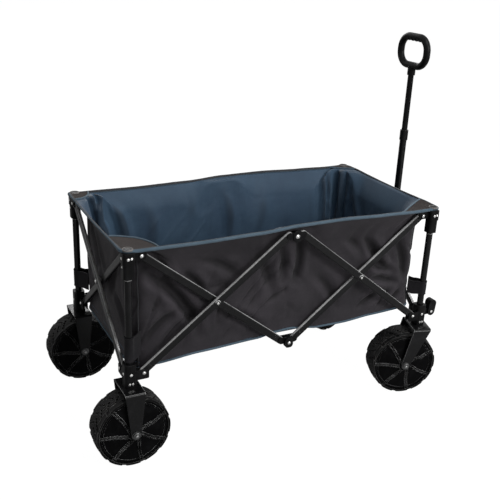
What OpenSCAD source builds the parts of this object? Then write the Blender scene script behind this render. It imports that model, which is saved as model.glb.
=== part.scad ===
// Folding beach cart: a fabric basket hung in a collapsible scissor frame on four broad wheels,
// with swivel casters at the front and a telescoping pull handle.
// Millimetres. +X is the front (handle end), +Y the cart's left, +Z up, and the ground is z = 0.
// The origin lies on the ground under the middle of the overall length.

/* [Scissor frame] */
// Distance between the two pivot columns of one X, the same for all six
module_span = 390; // [360:1:420]
// Height between the lower and the upper pivot rows with the frame open
module_rise = 303; // [280:1:330]
// Distance between the two pivots of a middle hub
hub_pitch = 40; // [36:1:60]
// Distance from a post axis to the strut pivot on the long sides
side_inset = 33; // [30:1:40]
// Distance from a post axis to the strut pivot on the short ends
end_inset = 31; // [30:1:40]

/* [Struts] */
// Depth of the strut tube, in the plane of its X
strut_depth = 20; // [18:1:24]
// Thickness of the strut tube, across its X
strut_thick = 10; // [9:0.5:12]
// Wall of the strut tube
strut_wall = 1.4; // [1.2:0.1:2]
// Radius along the edges of the strut tube
strut_edge = 3.5; // [2.5:0.25:4.25]
// Room between the two crossing struts
layer_gap = 2; // [1.5:0.25:4]
// Radius of the pivot pins
pin_r = 4; // [3:0.25:5]
// Height of a pin head
pin_head_t = 1.5; // [1:0.1:2]
// How far a strut's end fitting is pushed into its tube
plug_depth = 18; // [12:1:30]

/* [Corner posts] */
// Radius of the lower, outer post tube
post_r = 9; // [8:0.5:10]
// Wall of the lower post tube
post_wall = 1.4; // [1.2:0.1:2]
// Wall of the rod tube that slides in it
rod_wall = 1.4; // [1.2:0.1:2]

/* [Brackets and hubs] */
// Side of the square moulded block round a post
block_side = 30; // [28:1:34]
// Corner radius of that block
block_corner = 7; // [4:0.5:9]
// Thickness of a clevis cheek
cheek_t = 2.7; // [2.2:0.1:3.5]
// Reach of a clevis cheek past its pivot
cheek_reach = 13; // [11:0.5:14]
// Depth of a clevis cheek on the side where its strut leaves
cheek_open = 9; // [8:0.5:10]
// Depth of a lower clevis cheek under its pivot
cheek_drop = 17; // [14:0.5:20]
// Radius of a hub's cheek ends
hub_end_r = 9; // [8:0.5:10]
// Width of the boss in the middle of a hub
hub_boss_w = 24; // [18:1:26]
// Height of a lower bracket above its pivot row
low_block_up = 27; // [20:1:40]
// Height of an upper bracket above its pivot row
upper_block_up = 14; // [13.5:0.5:18]
// Depth of the upper bracket's block below its pivot row
upper_block_down = 14; // [12:1:18]
// Height of the upper bracket's neck below its pivot row
neck_drop = 51; // [40:1:60]
// Height of the pivot row above the fork crown
pivot_lift = 35; // [32:1:45]

/* [Wheels] */
// Diameter over the tread lugs
wheel_d = 194; // [170:1:210]
// Width of the wheel over its domed faces
face_w = 78; // [72:1:84]
// Width of the tyre
tyre_w = 68; // [62:1:70]
// Radial thickness of the tyre, lugs included
tyre_t = 8; // [7:0.5:10]
// How much lower the tread is on its shoulders than in the middle
crown_drop = 2; // [1:0.25:3]
// Depth of the grooves between the lugs
lug_depth = 4; // [3:0.25:4.5]
// Large lugs along each shoulder of the tread
lug_count = 12; // [8:1:14]
// Width of the grooves between the large lugs
groove_w = 12; // [9:0.5:14]
// Width of the slanted grooves between the small lugs
fine_groove_w = 7; // [5:0.5:8]
// How much lower the faces lie at the rim than in the middle
dome_h = 8; // [6:0.5:9]
// Height of the ribs on the wheel face
rib_h = 3; // [2:0.25:3.5]
// Pairs of bent ribs on each wheel face
rib_pairs = 7; // [5:1:8]
// Radius of the axle bolt
axle_r = 5; // [4:0.25:6]

/* [Forks and casters] */
// Thickness of the pressed fork
fork_t = 4; // [3:0.5:5]
// Radius of the bends between a fork's crown and its legs
bend_r = 7; // [6:0.5:10]
// Room between the wheel's face and a fork leg
fork_gap = 4.5; // [4:0.25:6]
// Room between the tyre and the crown
crown_gap = 15; // [12:1:25]
// Width of a fork leg at the crown
leg_top_w = 52; // [44:1:60]
// Radius of a fork leg's round lower end
leg_end_r = 13; // [11:0.5:15]
// Distance that the front wheels trail behind their swivel axis
trail = 40; // [30:1:46]
// Angle that the front wheels stand turned inward by
caster_turn = 17; // [0:1:30]
// Radius of the swivel stem
stem_r = 6; // [5:0.25:7]
// Height of the swivel stem above the crown
stem_h = 20; // [16:1:24]

/* [Swivel locks] */
// Distance from a front post axis to its lock lever's pin
lock_reach = 38; // [36:1:44]
// Length of the lock lever from its pin to the centre of its tip
lock_len = 25; // [18:1:32]
// Width of the lock lever, across the cart
lock_w = 22; // [18:1:26]

/* [Handle] */
// Distance from the front posts forward to the handle's hinge
handle_reach = 50; // [46:1:60]
// Height of the handle's outer tube, from its hinge pin to its collar
outer_tube_len = 338; // [300:1:360]
// Radius of the outer handle tube
outer_tube_r = 10; // [9:0.5:12]
// Radius of the inner handle tube
inner_tube_r = 8.4; // [7:0.1:8.5]
// Wall of the handle tubes
handle_wall = 1.5; // [1.2:0.1:1.5]
// Height of the outer tube's collar
collar_h = 30; // [24:1:36]
// Height of the bottom of the grip's neck above the collar
neck_above = 161; // [155:1:200]
// Length of the inner tube inside the outer tube
inner_inside = 160; // [120:1:170]
// Width of the grip ring between its tube centres
grip_w = 116; // [100:1:130]
// Height of the grip ring between its tube centres
grip_h = 80; // [70:1:95]
// Radius of the grip's round section
grip_r = 10; // [8:0.5:12]
// Bend radius at the grip's corners
grip_bend = 36; // [30:1:38]
// Height of the grip's neck, up to the middle of its lower bar
neck_h = 27; // [24:1:32]
// Finger bulges under the grip's top bar
finger_count = 4; // [3:1:4]

/* [Basket] */
// Thickness of the fabric as hung
cloth_t = 2; // [1.5:0.25:3]
// Room between the post axes and the basket's outside
basket_inset = 17.5; // [17.5:0.25:22]
// Radius of the basket's upright corners
basket_corner = 38; // [25:1:50]
// Height of the basket's bottom above the lower pivot row
floor_lift = 8; // [6:1:20]
// How far the rim stands out past the posts at the ends
rim_out_x = 20; // [18:1:24]
// How far the rim stands out past the posts at the sides
rim_out_y = 10; // [8:1:12]
// Height of the hem round the rim
hem_h = 9.7; // [8:0.1:14]
// Thickness of the hem
hem_t = 5; // [4:0.25:7]
// Length of a corner flap along the sides
flap_x = 112; // [90:1:130]
// Length of a corner flap along the ends
flap_y = 92; // [80:1:110]

/* [Hidden] */
// Clearances: running fit of a pin, side play of a strut, free air between bodies, rod in tube
fit = 0.05;
side_play = 0.3;
air = 0.3;
thrust_gap = 0.4;

ends = ["rear", "front"];
sides = ["right", "left"];

// Plan of the frame, measured from the middle between the posts
post_x = module_span + hub_pitch / 2 + side_inset;
post_y = module_span / 2 + end_inset;
layer = (strut_thick + layer_gap) / 2;
pivot_x = post_x - side_inset;
pivot_y = post_y - end_inset;
hub_x = hub_pitch / 2;

// Heights
axle_z = wheel_d / 2;
crown_z = wheel_d + crown_gap + fork_t;
low_z = crown_z + pivot_lift;
high_z = low_z + module_rise;
knuckle_r = strut_depth / 2;
block_top_z = high_z + upper_block_up;
low_block_z = crown_z + thrust_gap;
floor_z = low_z + floor_lift;
hem_z = block_top_z + air;
flange_z = hem_z + 1.7;
rim_z = hem_z + hem_h;
cross_z = (low_z + high_z) / 2;

// Struts
strut_len = norm([module_span, module_rise]);
strut_slope = atan2(module_rise, module_span);
fitting_len = pin_r + 2;
cheek_in = strut_thick / 2 + side_play;
clevis_half = cheek_in + cheek_t;
cheek_corner = 3.5;

// Blocks
neck_side = block_side - 3;
block_cap = 4.5;

// Posts
tube_foot_z = low_block_z + stem_h + 6;
tube_top_z = high_z - neck_drop - 4;
rod_r = post_r - post_wall - fit;
rod_foot_z = tube_foot_z + 12;

// Wheels and forks
rim_r = wheel_d / 2 - tyre_t;
shell_t = 3.5;
lip_r = rim_r - 8;
boss_r = 17;
dome_r = (rim_r * rim_r + dome_h * dome_h) / (2 * dome_h);
leg_in = face_w / 2 + fork_gap;
boss_half = leg_in - thrust_gap;
leg_out = leg_in + fork_t;

// Swivel locks
lever_side_t = 6;
lever_pin_r = 3;
tongue_t = lock_w - 2 * lever_side_t;
tongue_r = 9;

// Handle
handle_x = post_x + handle_reach;
back_plate_x = post_x + layer + strut_thick / 2 + pin_head_t;
back_plate_t = 5;
yoke_r = 16;
eye_half = outer_tube_r + 1.2;
socket_depth = 14;
ear_in = eye_half + side_play;
ear_t = 4.5;
collar_z = cross_z + outer_tube_len;
grip_neck_z = collar_z + neck_above;
grip_z = grip_neck_z + neck_h + grip_h / 2;

// Basket
basket_x = post_x - basket_inset;
basket_y = post_y - basket_inset;
rim_x = post_x + rim_out_x;
rim_y = post_y + rim_out_y;
wall_split = basket_y - basket_corner;

// The origin is under the middle of the overall length: wheels behind, handle hinge in front
rear_reach = post_x + wheel_d / 2;
front_reach = handle_x + yoke_r;
mid_x = (rear_reach - front_reach) / 2;

frame_black = [0.10, 0.10, 0.11];
moulded_black = [0.07, 0.07, 0.08];
tread_black = [0.06, 0.06, 0.065];
charcoal = [0.18, 0.17, 0.19];
navy = [0.17, 0.26, 0.35];

$fn = 48;

// ---------- Shared shapes ----------

// Square with rounded corners, centred, built from exact arcs
module rounded_rect(w, h, r) {
    square([w, h - 2 * r], center = true);
    square([w - 2 * r, h], center = true);
    for (x = [-1, 1])
        for (y = [-1, 1])
            translate([x * (w / 2 - r), y * (h / 2 - r)])
                circle(r = r);
}

// Places a piece drawn for the front left corner at any corner
module at_corner(e, s) {
    translate([mid_x, 0, 0])
        mirror([e == "rear" ? 1 : 0, 0, 0])
            mirror([0, s == "right" ? 1 : 0, 0])
                children();
}

// Places a piece drawn for the left side on either side
module at_side(s) {
    translate([mid_x, 0, 0])
        mirror([0, s == "right" ? 1 : 0, 0])
            children();
}

// Rod of radius r along Y, from y0 to y1
module y_rod(r, y0, y1) {
    translate([0, y0, 0])
        rotate([-90, 0, 0])
            cylinder(r = r, h = y1 - y0);
}

// Plate of thickness t along Y from y0, its outline drawn in X and Z
module y_plate(y0, t) {
    translate([0, y0 + t, 0])
        rotate([90, 0, 0])
            linear_extrude(t)
                children();
}

// ---------- Struts ----------

// Rounded section of the strut tube, or that of its bore or plug at a distance inside it
module strut_section(inside) {
    rounded_rect(strut_thick - 2 * inside, strut_depth - 2 * inside, strut_edge - inside);
}

// Nylon end fitting: a round knuckle on the pivot and a plug in the tube
module end_fitting() {
    bore_r = pin_r + fit;
    rotate([90, 0, 0])
        rotate_extrude()
            intersection() {
                rounded_rect(2 * knuckle_r, strut_thick, strut_edge);
                translate([bore_r, -strut_thick])
                    square(2 * strut_thick);
            }
    difference() {
        rotate([90, 0, 90]) {
            linear_extrude(fitting_len)
                strut_section(0);
            linear_extrude(fitting_len + plug_depth)
                strut_section(strut_wall + fit);
        }
        y_rod(bore_r, -strut_thick, strut_thick);
    }
}

// Tube with rounded edges between two end fittings, from the pivot at the origin along +X
module strut_body() {
    difference() {
        translate([fitting_len, 0, 0])
            rotate([90, 0, 90])
                linear_extrude(strut_len - 2 * fitting_len)
                    difference() {
                        strut_section(0);
                        strut_section(strut_wall);
                    }
        translate([strut_len / 2, 0, 0])
            y_rod(pin_r + fit, -strut_thick, strut_thick);
    }
    end_fitting();
    translate([strut_len, 0, 0])
        mirror([1, 0, 0])
            end_fitting();
}

// Rivet at the crossing, fixed in the outer strut; the inner strut turns on it. Outward is +Y
module crossing_rivet() {
    outer_face = strut_thick / 2;
    inner_face = -3 * strut_thick / 2 - layer_gap;
    translate([strut_len / 2, 0, 0]) {
        y_rod(pin_r, inner_face - side_play - pin_head_t, outer_face + pin_head_t);
        y_rod(pin_r + 3, outer_face, outer_face + pin_head_t);
        y_rod(pin_r + 4, -outer_face - layer_gap + side_play, -outer_face);
        y_rod(pin_r + 3, inner_face - side_play - pin_head_t, inner_face - side_play);
    }
}

module outer_strut_solid() {
    difference() {
        strut_body();
        translate([strut_len / 2, 0, 0])
            y_rod(pin_r, -strut_thick, strut_thick);
    }
    crossing_rivet();
}

// Strut of a long side's X in the left wall; rising ones run from a lower corner to the top hub
module side_strut(e, s, rising) {
    slope = rising ? strut_slope : -strut_slope;
    color(frame_black)
        at_corner(e, s)
            translate([pivot_x, post_y + (rising ? layer : -layer), rising ? low_z : high_z])
                mirror([1, 0, 0])
                    rotate([0, -slope, 0])
                        if (rising)
                            outer_strut_solid();
                        else
                            strut_body();
}

// Strut of a short end's X; the outer one rises from right to left, the inner one falls
module end_strut(e, outer) {
    slope = outer ? strut_slope : -strut_slope;
    color(frame_black)
        translate([mid_x, 0, 0])
            mirror([e == "rear" ? 1 : 0, 0, 0])
                translate([post_x + (outer ? layer : -layer), -pivot_y, outer ? low_z : high_z])
                    mirror([1, -1, 0])
                        rotate([0, -slope, 0])
                            if (outer)
                                end_outer_solid(e);
                            else
                                strut_body();
}

// The front's outer strut also carries the handle bracket on a longer crossing pin
module end_outer_solid(e) {
    outer_strut_solid();
    if (e == "front")
        translate([strut_len / 2, 0, 0]) {
            plate_in = strut_thick / 2 + pin_head_t;
            plate_out = plate_in + back_plate_t + 2 * side_play;
            y_rod(pin_r, strut_thick / 2, plate_out + pin_head_t);
            y_rod(pin_r + 4, plate_out, plate_out + pin_head_t);
        }
}

// ---------- Brackets and hubs ----------

// Clevis arm from a post at the origin along -X, holding a strut in the plane y = offset
module clevis_arm(inset, offset, low, high) {
    reach = inset + cheek_reach;
    web_x = -inset + knuckle_r + 2;
    for (c = [-1, 1])
        y_plate(offset + (c > 0 ? cheek_in : -clevis_half), cheek_t)
            translate([-reach / 2, (low + high) / 2])
                rounded_rect(reach, high - low, cheek_corner);
    translate([web_x, offset - clevis_half, low])
        cube([-web_x, 2 * clevis_half, high - low]);
    translate([-inset, 0, 0]) {
        y_rod(pin_r, offset - clevis_half, offset + clevis_half);
        y_rod(pin_r + 2.5, offset + clevis_half, offset + clevis_half + pin_head_t);
    }
}

// The two clevis arms of a corner, one along the side and one along the end, between two heights
module corner_arms(side_offset, end_offset, low, high) {
    clevis_arm(side_inset, side_offset, low, high);
    mirror([1, -1, 0])
        clevis_arm(end_inset, end_offset, low, high);
}

// Tongue in front of a lower bracket on which the swivel lock turns
module lock_tongue() {
    y_plate(-tongue_t / 2, tongue_t) {
        translate([lock_reach, 0])
            circle(r = tongue_r);
        translate([0, -tongue_r])
            square([lock_reach, 2 * tongue_r]);
    }
    translate([lock_reach, 0, 0])
        y_rod(lever_pin_r, -lock_w / 2, lock_w / 2);
}

// Lower bracket: block round the post's foot, its arms and, in front, the lock's tongue
module lower_bracket(e, s) {
    foot_z = e == "front" ? low_block_z : crown_z;
    color(moulded_black)
        at_corner(e, s)
            difference() {
                translate([post_x, post_y, 0])
                    union() {
                        translate([0, 0, foot_z])
                            linear_extrude(low_z + low_block_up - foot_z)
                                rounded_rect(block_side, block_side, block_corner);
                        translate([0, 0, low_z])
                            corner_arms(layer, s == "right" ? layer : -layer,
                                -cheek_drop, cheek_open);
                        if (e == "front")
                            translate([0, 0, low_z])
                                lock_tongue();
                    }
                translate([post_x, post_y, tube_foot_z])
                    cylinder(r = post_r + fit, h = module_rise);
                if (e == "front")
                    translate([post_x, post_y, foot_z - 1])
                        cylinder(r = stem_r + fit, h = stem_h + 3);
            }
}

// Upper bracket: long neck round the post rod, and its arms
module upper_bracket(e, s) {
    color(moulded_black)
        at_corner(e, s)
            difference() {
                translate([post_x, post_y, high_z])
                    union() {
                        translate([0, 0, -neck_drop])
                            linear_extrude(neck_drop - upper_block_down)
                                rounded_rect(neck_side, neck_side, block_corner);
                        translate([0, 0, -upper_block_down])
                            linear_extrude(upper_block_down + upper_block_up)
                                rounded_rect(block_side, block_side, block_corner);
                        corner_arms(-layer, s == "right" ? -layer : layer,
                            -cheek_open, upper_block_up);
                    }
                translate([post_x, post_y, high_z - neck_drop - 1])
                    cylinder(r = rod_r + fit, h = neck_drop + 1 + upper_block_up - block_cap);
            }
}

// Lower tube of a telescoping corner post
module post_tube(e, s) {
    color(frame_black)
        at_corner(e, s)
            translate([post_x, post_y, tube_foot_z])
                difference() {
                    cylinder(r = post_r, h = tube_top_z - tube_foot_z);
                    translate([0, 0, 3])
                        cylinder(r = post_r - post_wall, h = tube_top_z);
                }
}

// Rod that slides in it when the frame folds
module post_rod(e, s) {
    top_z = block_top_z - block_cap - fit;
    color(frame_black)
        at_corner(e, s)
            translate([post_x, post_y, rod_foot_z])
                difference() {
                    cylinder(r = rod_r, h = top_z - rod_foot_z);
                    translate([0, 0, -1])
                        cylinder(r = rod_r - rod_wall, h = top_z - rod_foot_z - 4);
                }
}

// Middle hub: two cheeks and a web that join the struts of the two X frames on one side, with an
// upright boss on its outside
module middle_hub(s, top) {
    offset = post_y + (top ? layer : -layer);
    web_half = hub_x - knuckle_r - 2;
    low = top ? -cheek_drop : -cheek_drop - 2;
    high = top ? upper_block_up - air : cheek_open;
    boss_t = top ? 2 : 8;
    color(moulded_black)
        at_side(s)
            translate([0, offset, top ? high_z : low_z]) {
                for (c = [-1, 1])
                    y_plate(c > 0 ? cheek_in : -clevis_half, cheek_t) {
                        square([hub_pitch, 2 * hub_end_r], center = true);
                        for (x = [-1, 1])
                            translate([x * hub_x, 0])
                                circle(r = hub_end_r);
                    }
                translate([-web_half, -clevis_half, -hub_end_r])
                    cube([2 * web_half, 2 * clevis_half, 2 * hub_end_r]);
                y_plate(cheek_in, cheek_t + boss_t)
                    translate([0, (low + high) / 2])
                        rounded_rect(hub_boss_w, high - low, hub_end_r);
                for (x = [-1, 1])
                    translate([x * hub_x, 0, 0])
                        y_rod(pin_r, -clevis_half, clevis_half);
            }
}

// ---------- Forks and wheels ----------

// Outline of a fork leg in X and Z, with the swivel or post axis at x = 0 and the axle at -back
module leg_outline(back) {
    polygon([
        [-leg_top_w / 2, crown_z],
        [leg_top_w / 2, crown_z],
        [leg_end_r - back, axle_z],
        [-leg_end_r - back, axle_z],
    ]);
    translate([-back, axle_z])
        circle(r = leg_end_r);
}

// Section of the pressed fork across the cart: an upturned U with rounded bends
module fork_section() {
    drop = crown_z - axle_z + leg_end_r + bend_r;
    difference() {
        translate([0, crown_z - drop / 2])
            rounded_rect(2 * leg_out, drop, bend_r);
        translate([0, crown_z - fork_t - drop / 2])
            rounded_rect(2 * leg_in, drop, bend_r - fork_t);
    }
}

// Pressed fork with its axle bolt, and a swivel stem if it turns
module fork_body(back, stem) {
    nut_h = 4;
    intersection() {
        rotate([90, 0, 90])
            translate([0, 0, -leg_top_w])
                linear_extrude(2 * leg_top_w)
                    fork_section();
        y_plate(-2 * leg_out, 4 * leg_out)
            leg_outline(back);
    }
    translate([-back, 0, axle_z]) {
        y_rod(axle_r, -leg_out, leg_out);
        for (c = [-1, 1])
            y_rod(axle_r + 3, c > 0 ? leg_out : -leg_out - nut_h, c > 0 ? leg_out + nut_h : -leg_out);
    }
    if (stem)
        translate([0, 0, crown_z - fork_t / 2])
            cylinder(r = stem_r, h = stem_h + fork_t / 2);
}

// Turns a front caster about its swivel axis to where it stands
module at_wheel(e, s) {
    at_corner(e, s)
        translate([post_x, post_y, 0])
            rotate([0, 0, e == "front" ? caster_turn : 0])
                children();
}

module fork(e, s) {
    color(frame_black)
        at_wheel(e, s)
            fork_body(e == "front" ? trail : 0, e == "front");
}

// Right half of a section between two domes that bulge by an extra height
module dome_section(extra) {
    half_w = face_w / 2 + extra;
    intersection() {
        translate([0, -half_w])
            square([rim_r, 2 * half_w]);
        translate([0, half_w - dome_r])
            circle(r = dome_r, $fn = 96);
        translate([0, dome_r - half_w])
            circle(r = dome_r, $fn = 96);
    }
}

// Section of the wheel: boss, two domed faces with a round lip, and the rim under the tyre
module wheel_section() {
    lip_y = face_w / 2 - dome_r + sqrt(dome_r * dome_r - lip_r * lip_r);
    difference() {
        union() {
            dome_section(0);
            translate([0, -boss_half])
                square([boss_r, 2 * boss_half]);
            for (c = [-1, 1])
                translate([lip_r, c * lip_y])
                    circle(r = 2);
        }
        intersection() {
            dome_section(-shell_t);
            translate([boss_r, -face_w])
                square([rim_r - shell_t - boss_r, 2 * face_w]);
        }
        translate([-2 * boss_r, -face_w])
            square([2 * boss_r + axle_r + fit, 2 * face_w]);
    }
}

// One bent rib, slanting out from the boss and then running straight to the rim
module bent_rib() {
    r0 = boss_r - 2;
    r1 = 0.6 * rim_r;
    r2 = rim_r - 0.5;
    rib_w = 2.4;
    bend = 7;
    polygon([[r0, bend], [r1, 0], [r2, 0], [r2, rib_w], [r1, rib_w], [r0, bend + rib_w]]);
}

// Pairs of ribs on the face towards +Z, cut off at an even height over the dome
module face_ribs() {
    rib_pitch = 6;
    phase = 26;
    intersection() {
        rotate_extrude()
            difference() {
                dome_section(rib_h);
                dome_section(-1);
                translate([0, -2 * face_w])
                    square([rim_r, 2 * face_w]);
            }
        linear_extrude(face_w)
            for (i = [0 : rib_pairs - 1])
                for (j = [0, 1])
                    rotate(phase + i * 360 / rib_pairs)
                        translate([0, j * rib_pitch - rib_pitch])
                            bent_rib();
    }
}

// The wheels are all alike, so the mirroring at two of the corners is undone
module wheel(e, s) {
    color(moulded_black)
        at_wheel(e, s)
            translate([e == "front" ? -trail : 0, 0, axle_z])
                mirror([(e == "rear") == (s == "right") ? 0 : 1, 0, 0])
                    rotate([90, 0, 0]) {
                        rotate_extrude()
                            wheel_section();
                        for (turn = [0, 180])
                            rotate([0, turn, 0])
                                face_ribs();
                    }
}

// Ring of lugs: a disc with grooves cut in its edge, turned by an angle
module lug_ring(w, r, count, gap, turn) {
    linear_extrude(w)
        difference() {
            circle(r = r, $fn = 96);
            circle(r = rim_r);
            for (i = [0 : count - 1])
                rotate(turn + i * 360 / count)
                    translate([wheel_d / 2 - lug_depth, -gap / 2])
                        square([2 * lug_depth, gap]);
        }
}

// Tyre: rows of small lugs, each turned past the last so that they run in chevrons, between the
// large lugs of the shoulders
module tyre(e, s) {
    shoulder = 0.3 * tyre_w;
    fine_rows = 3;
    row_w = shoulder / fine_rows;
    pitch = 360 / lug_count;
    lead = 3;
    color(tread_black)
        at_wheel(e, s)
            translate([e == "front" ? -trail : 0, 0, axle_z])
                rotate([90, 0, 0])
                    for (c = [-1, 1]) {
                        for (k = [0 : fine_rows - 1])
                            translate([0, 0, (c > 0 ? k : -k - 1) * row_w])
                                lug_ring(row_w, wheel_d / 2 - k * crown_drop / 4, 2 * lug_count,
                                    fine_groove_w, c * pitch / 8 - k * lead);
                        translate([0, 0, c > 0 ? shoulder : -tyre_w / 2])
                            lug_ring(tyre_w / 2 - shoulder, wheel_d / 2 - crown_drop, lug_count,
                                groove_w, c * pitch / 8 - fine_rows * lead);
                    }
}

// Swivel lock: a forked lever that straddles the tongue and swings forward and down
module swivel_lock(s) {
    lean = 6;
    end_r = 12;
    slot_top = 10;
    color(moulded_black)
        at_corner("front", s)
            translate([post_x + lock_reach, post_y, low_z])
                rotate([0, lean, 0])
                    difference() {
                        y_plate(-lock_w / 2, lock_w) {
                            circle(r = end_r);
                            translate([-end_r, 0])
                                square([2 * end_r, lock_len]);
                            translate([0, lock_len])
                                circle(r = end_r);
                        }
                        translate([-2 * end_r, -tongue_t / 2 - air, -2 * end_r])
                            cube([4 * end_r, tongue_t + 2 * air, 2 * end_r + slot_top]);
                        y_rod(lever_pin_r + fit, -lock_w, lock_w);
                    }
}

// ---------- Handle ----------

// Yoke on the front crossing: a plate behind and two ears round the hinge pin
module handle_bracket() {
    plate_x = back_plate_x + side_play;
    ear_len = handle_x - plate_x;
    color(moulded_black)
        translate([mid_x, 0, cross_z])
            difference() {
                union() {
                    translate([plate_x, -ear_in - ear_t, -yoke_r])
                        cube([back_plate_t, 2 * (ear_in + ear_t), 2 * yoke_r]);
                    for (c = [-1, 1])
                        y_plate(c > 0 ? ear_in : -ear_in - ear_t, ear_t) {
                            translate([plate_x, -yoke_r])
                                square([ear_len, 2 * yoke_r]);
                            translate([handle_x, 0])
                                circle(r = yoke_r);
                        }
                    translate([handle_x, 0, 0])
                        y_rod(pin_r, -ear_in - ear_t, ear_in + ear_t);
                }
                translate([plate_x - 1, 0, 0])
                    rotate([0, 90, 0])
                        cylinder(r = pin_r + fit, h = back_plate_t + 2);
            }
}

// Outer tube: eye on the hinge pin, tube and moulded collar
module handle_outer_tube() {
    eye_r = 13;
    color(frame_black)
        translate([mid_x + handle_x, 0, cross_z])
            difference() {
                union() {
                    y_rod(eye_r, -eye_half, eye_half);
                    cylinder(r = outer_tube_r, h = outer_tube_len);
                    translate([0, 0, outer_tube_len - collar_h])
                        cylinder(r = outer_tube_r + 2, h = collar_h);
                }
                translate([0, 0, eye_r + 2])
                    cylinder(r = inner_tube_r + fit, h = outer_tube_len);
                y_rod(pin_r + fit, -2 * outer_tube_r, 2 * outer_tube_r);
            }
}

module handle_inner_tube() {
    foot_z = collar_z - inner_inside;
    color(frame_black)
        translate([mid_x + handle_x, 0, foot_z])
            difference() {
                cylinder(r = inner_tube_r, h = grip_neck_z + socket_depth - foot_z);
                translate([0, 0, -1])
                    cylinder(r = inner_tube_r - handle_wall, h = grip_neck_z + 10 - foot_z);
            }
}

// Closed grip ring across the cart, on a neck over the inner tube, bulged between the fingers
module handle_grip() {
    half_w = grip_w / 2;
    half_h = grip_h / 2;
    finger_pitch = 2 * (half_w - grip_bend) / finger_count + 5;
    finger_drop = 2.5;
    color(moulded_black)
        translate([mid_x + handle_x, 0, grip_z]) {
            for (c = [-1, 1]) {
                translate([0, 0, c * half_h])
                    y_rod(grip_r, -half_w + grip_bend, half_w - grip_bend);
                translate([0, c * half_w, -half_h + grip_bend])
                    cylinder(r = grip_r, h = grip_h - 2 * grip_bend);
                for (k = [-1, 1])
                    translate([0, c * (half_w - grip_bend), k * (half_h - grip_bend)])
                        rotate([0, k > 0 ? -90 : 90, 0])
                            rotate([0, 0, c > 0 ? 0 : -90])
                                rotate_extrude(angle = 90)
                                    translate([grip_bend, 0])
                                        circle(r = grip_r, $fn = 32);
            }
            for (i = [0 : finger_count - 1])
                translate([0, (i - (finger_count - 1) / 2) * finger_pitch, half_h - finger_drop])
                    sphere(r = grip_r);
            difference() {
                translate([0, 0, grip_neck_z - grip_z])
                    cylinder(r = inner_tube_r + 3, h = grip_z - grip_neck_z - half_h);
                translate([0, 0, grip_neck_z - grip_z - 1])
                    cylinder(r = inner_tube_r + fit, h = 1 + socket_depth + fit);
            }
        }
}

// ---------- Basket ----------

// Keeps the part of a plan that belongs to a long side (its upright corners included) or an end
module side_share(s) {
    big = 4 * post_x;
    intersection() {
        children();
        translate([-big / 2, s == "left" ? wall_split + air / 2 : -big - wall_split - air / 2])
            square([big, big]);
    }
}

module end_share(e) {
    big = 4 * post_x;
    intersection() {
        children();
        translate([e == "front" ? 0 : -big, -wall_split + air / 2])
            square([big, 2 * wall_split - air]);
    }
}

module wall_plan() {
    difference() {
        rounded_rect(2 * basket_x, 2 * basket_y, basket_corner);
        rounded_rect(2 * (basket_x - cloth_t), 2 * (basket_y - cloth_t), basket_corner - cloth_t);
    }
}

module flange_plan() {
    difference() {
        rounded_rect(2 * rim_x, 2 * rim_y, 10);
        rounded_rect(2 * (basket_x - cloth_t), 2 * (basket_y - cloth_t), basket_corner - cloth_t);
    }
}

module hem_plan() {
    difference() {
        rounded_rect(2 * rim_x, 2 * rim_y, 10);
        rounded_rect(2 * (rim_x - hem_t), 2 * (rim_y - hem_t), 10 - hem_t / 2);
    }
}

// A long wall with the rim that folds out over the struts
module side_wall(s) {
    color(charcoal)
        translate([mid_x, 0, 0]) {
            translate([0, 0, floor_z])
                linear_extrude(flange_z + cloth_t - floor_z)
                    side_share(s) wall_plan();
            translate([0, 0, flange_z])
                linear_extrude(cloth_t)
                    side_share(s) flange_plan();
            translate([0, 0, hem_z])
                linear_extrude(hem_h)
                    side_share(s) hem_plan();
        }
}

module end_wall(e) {
    color(charcoal)
        translate([mid_x, 0, 0]) {
            translate([0, 0, floor_z])
                linear_extrude(flange_z + cloth_t - floor_z)
                    end_share(e) wall_plan();
            translate([0, 0, flange_z])
                linear_extrude(cloth_t)
                    end_share(e) flange_plan();
            translate([0, 0, hem_z])
                linear_extrude(hem_h)
                    end_share(e) hem_plan();
        }
}

// Half of the basket's floor, which lifts along the middle as the cart folds
module floor_half(s) {
    inner_x = basket_x - cloth_t - air;
    inner_y = basket_y - cloth_t - air;
    color(navy)
        at_side(s)
            translate([0, 0, floor_z])
                linear_extrude(cloth_t)
                    intersection() {
                        rounded_rect(2 * inner_x, 2 * inner_y, basket_corner - cloth_t - air);
                        translate([-inner_x, air / 2])
                            square([2 * inner_x, inner_y]);
                    }
}

// Reinforcing flap over a corner of the rim, with a curved inner edge
module corner_flap(e, s) {
    edge_r = 260;
    color(charcoal)
        at_corner(e, s)
            translate([rim_x, rim_y, rim_z + air])
                linear_extrude(cloth_t)
                    difference() {
                        intersection() {
                            translate([-flap_x, -flap_y])
                                square([flap_x, flap_y]);
                            polygon([[0, 0], [-flap_x, 0], [0, -flap_y]]);
                        }
                        translate([-flap_x / 2, -flap_y / 2] - edge_r * [flap_y, flap_x]
                            / norm([flap_x, flap_y]) * 0.985)
                            circle(r = edge_r, $fn = 96);
                    }
}

// ---------- The cart ----------

for (e = ends)
    for (s = sides) {
        lower_bracket(e, s);
        upper_bracket(e, s);
        post_tube(e, s);
        post_rod(e, s);
        side_strut(e, s, true);
        side_strut(e, s, false);
        fork(e, s);
        wheel(e, s);
        tyre(e, s);
        corner_flap(e, s);
    }
for (e = ends) {
    end_strut(e, true);
    end_strut(e, false);
    end_wall(e);
}
for (s = sides) {
    middle_hub(s, true);
    middle_hub(s, false);
    swivel_lock(s);
    side_wall(s);
    floor_half(s);
}
handle_bracket();
handle_outer_tube();
handle_inner_tube();
handle_grip();
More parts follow.
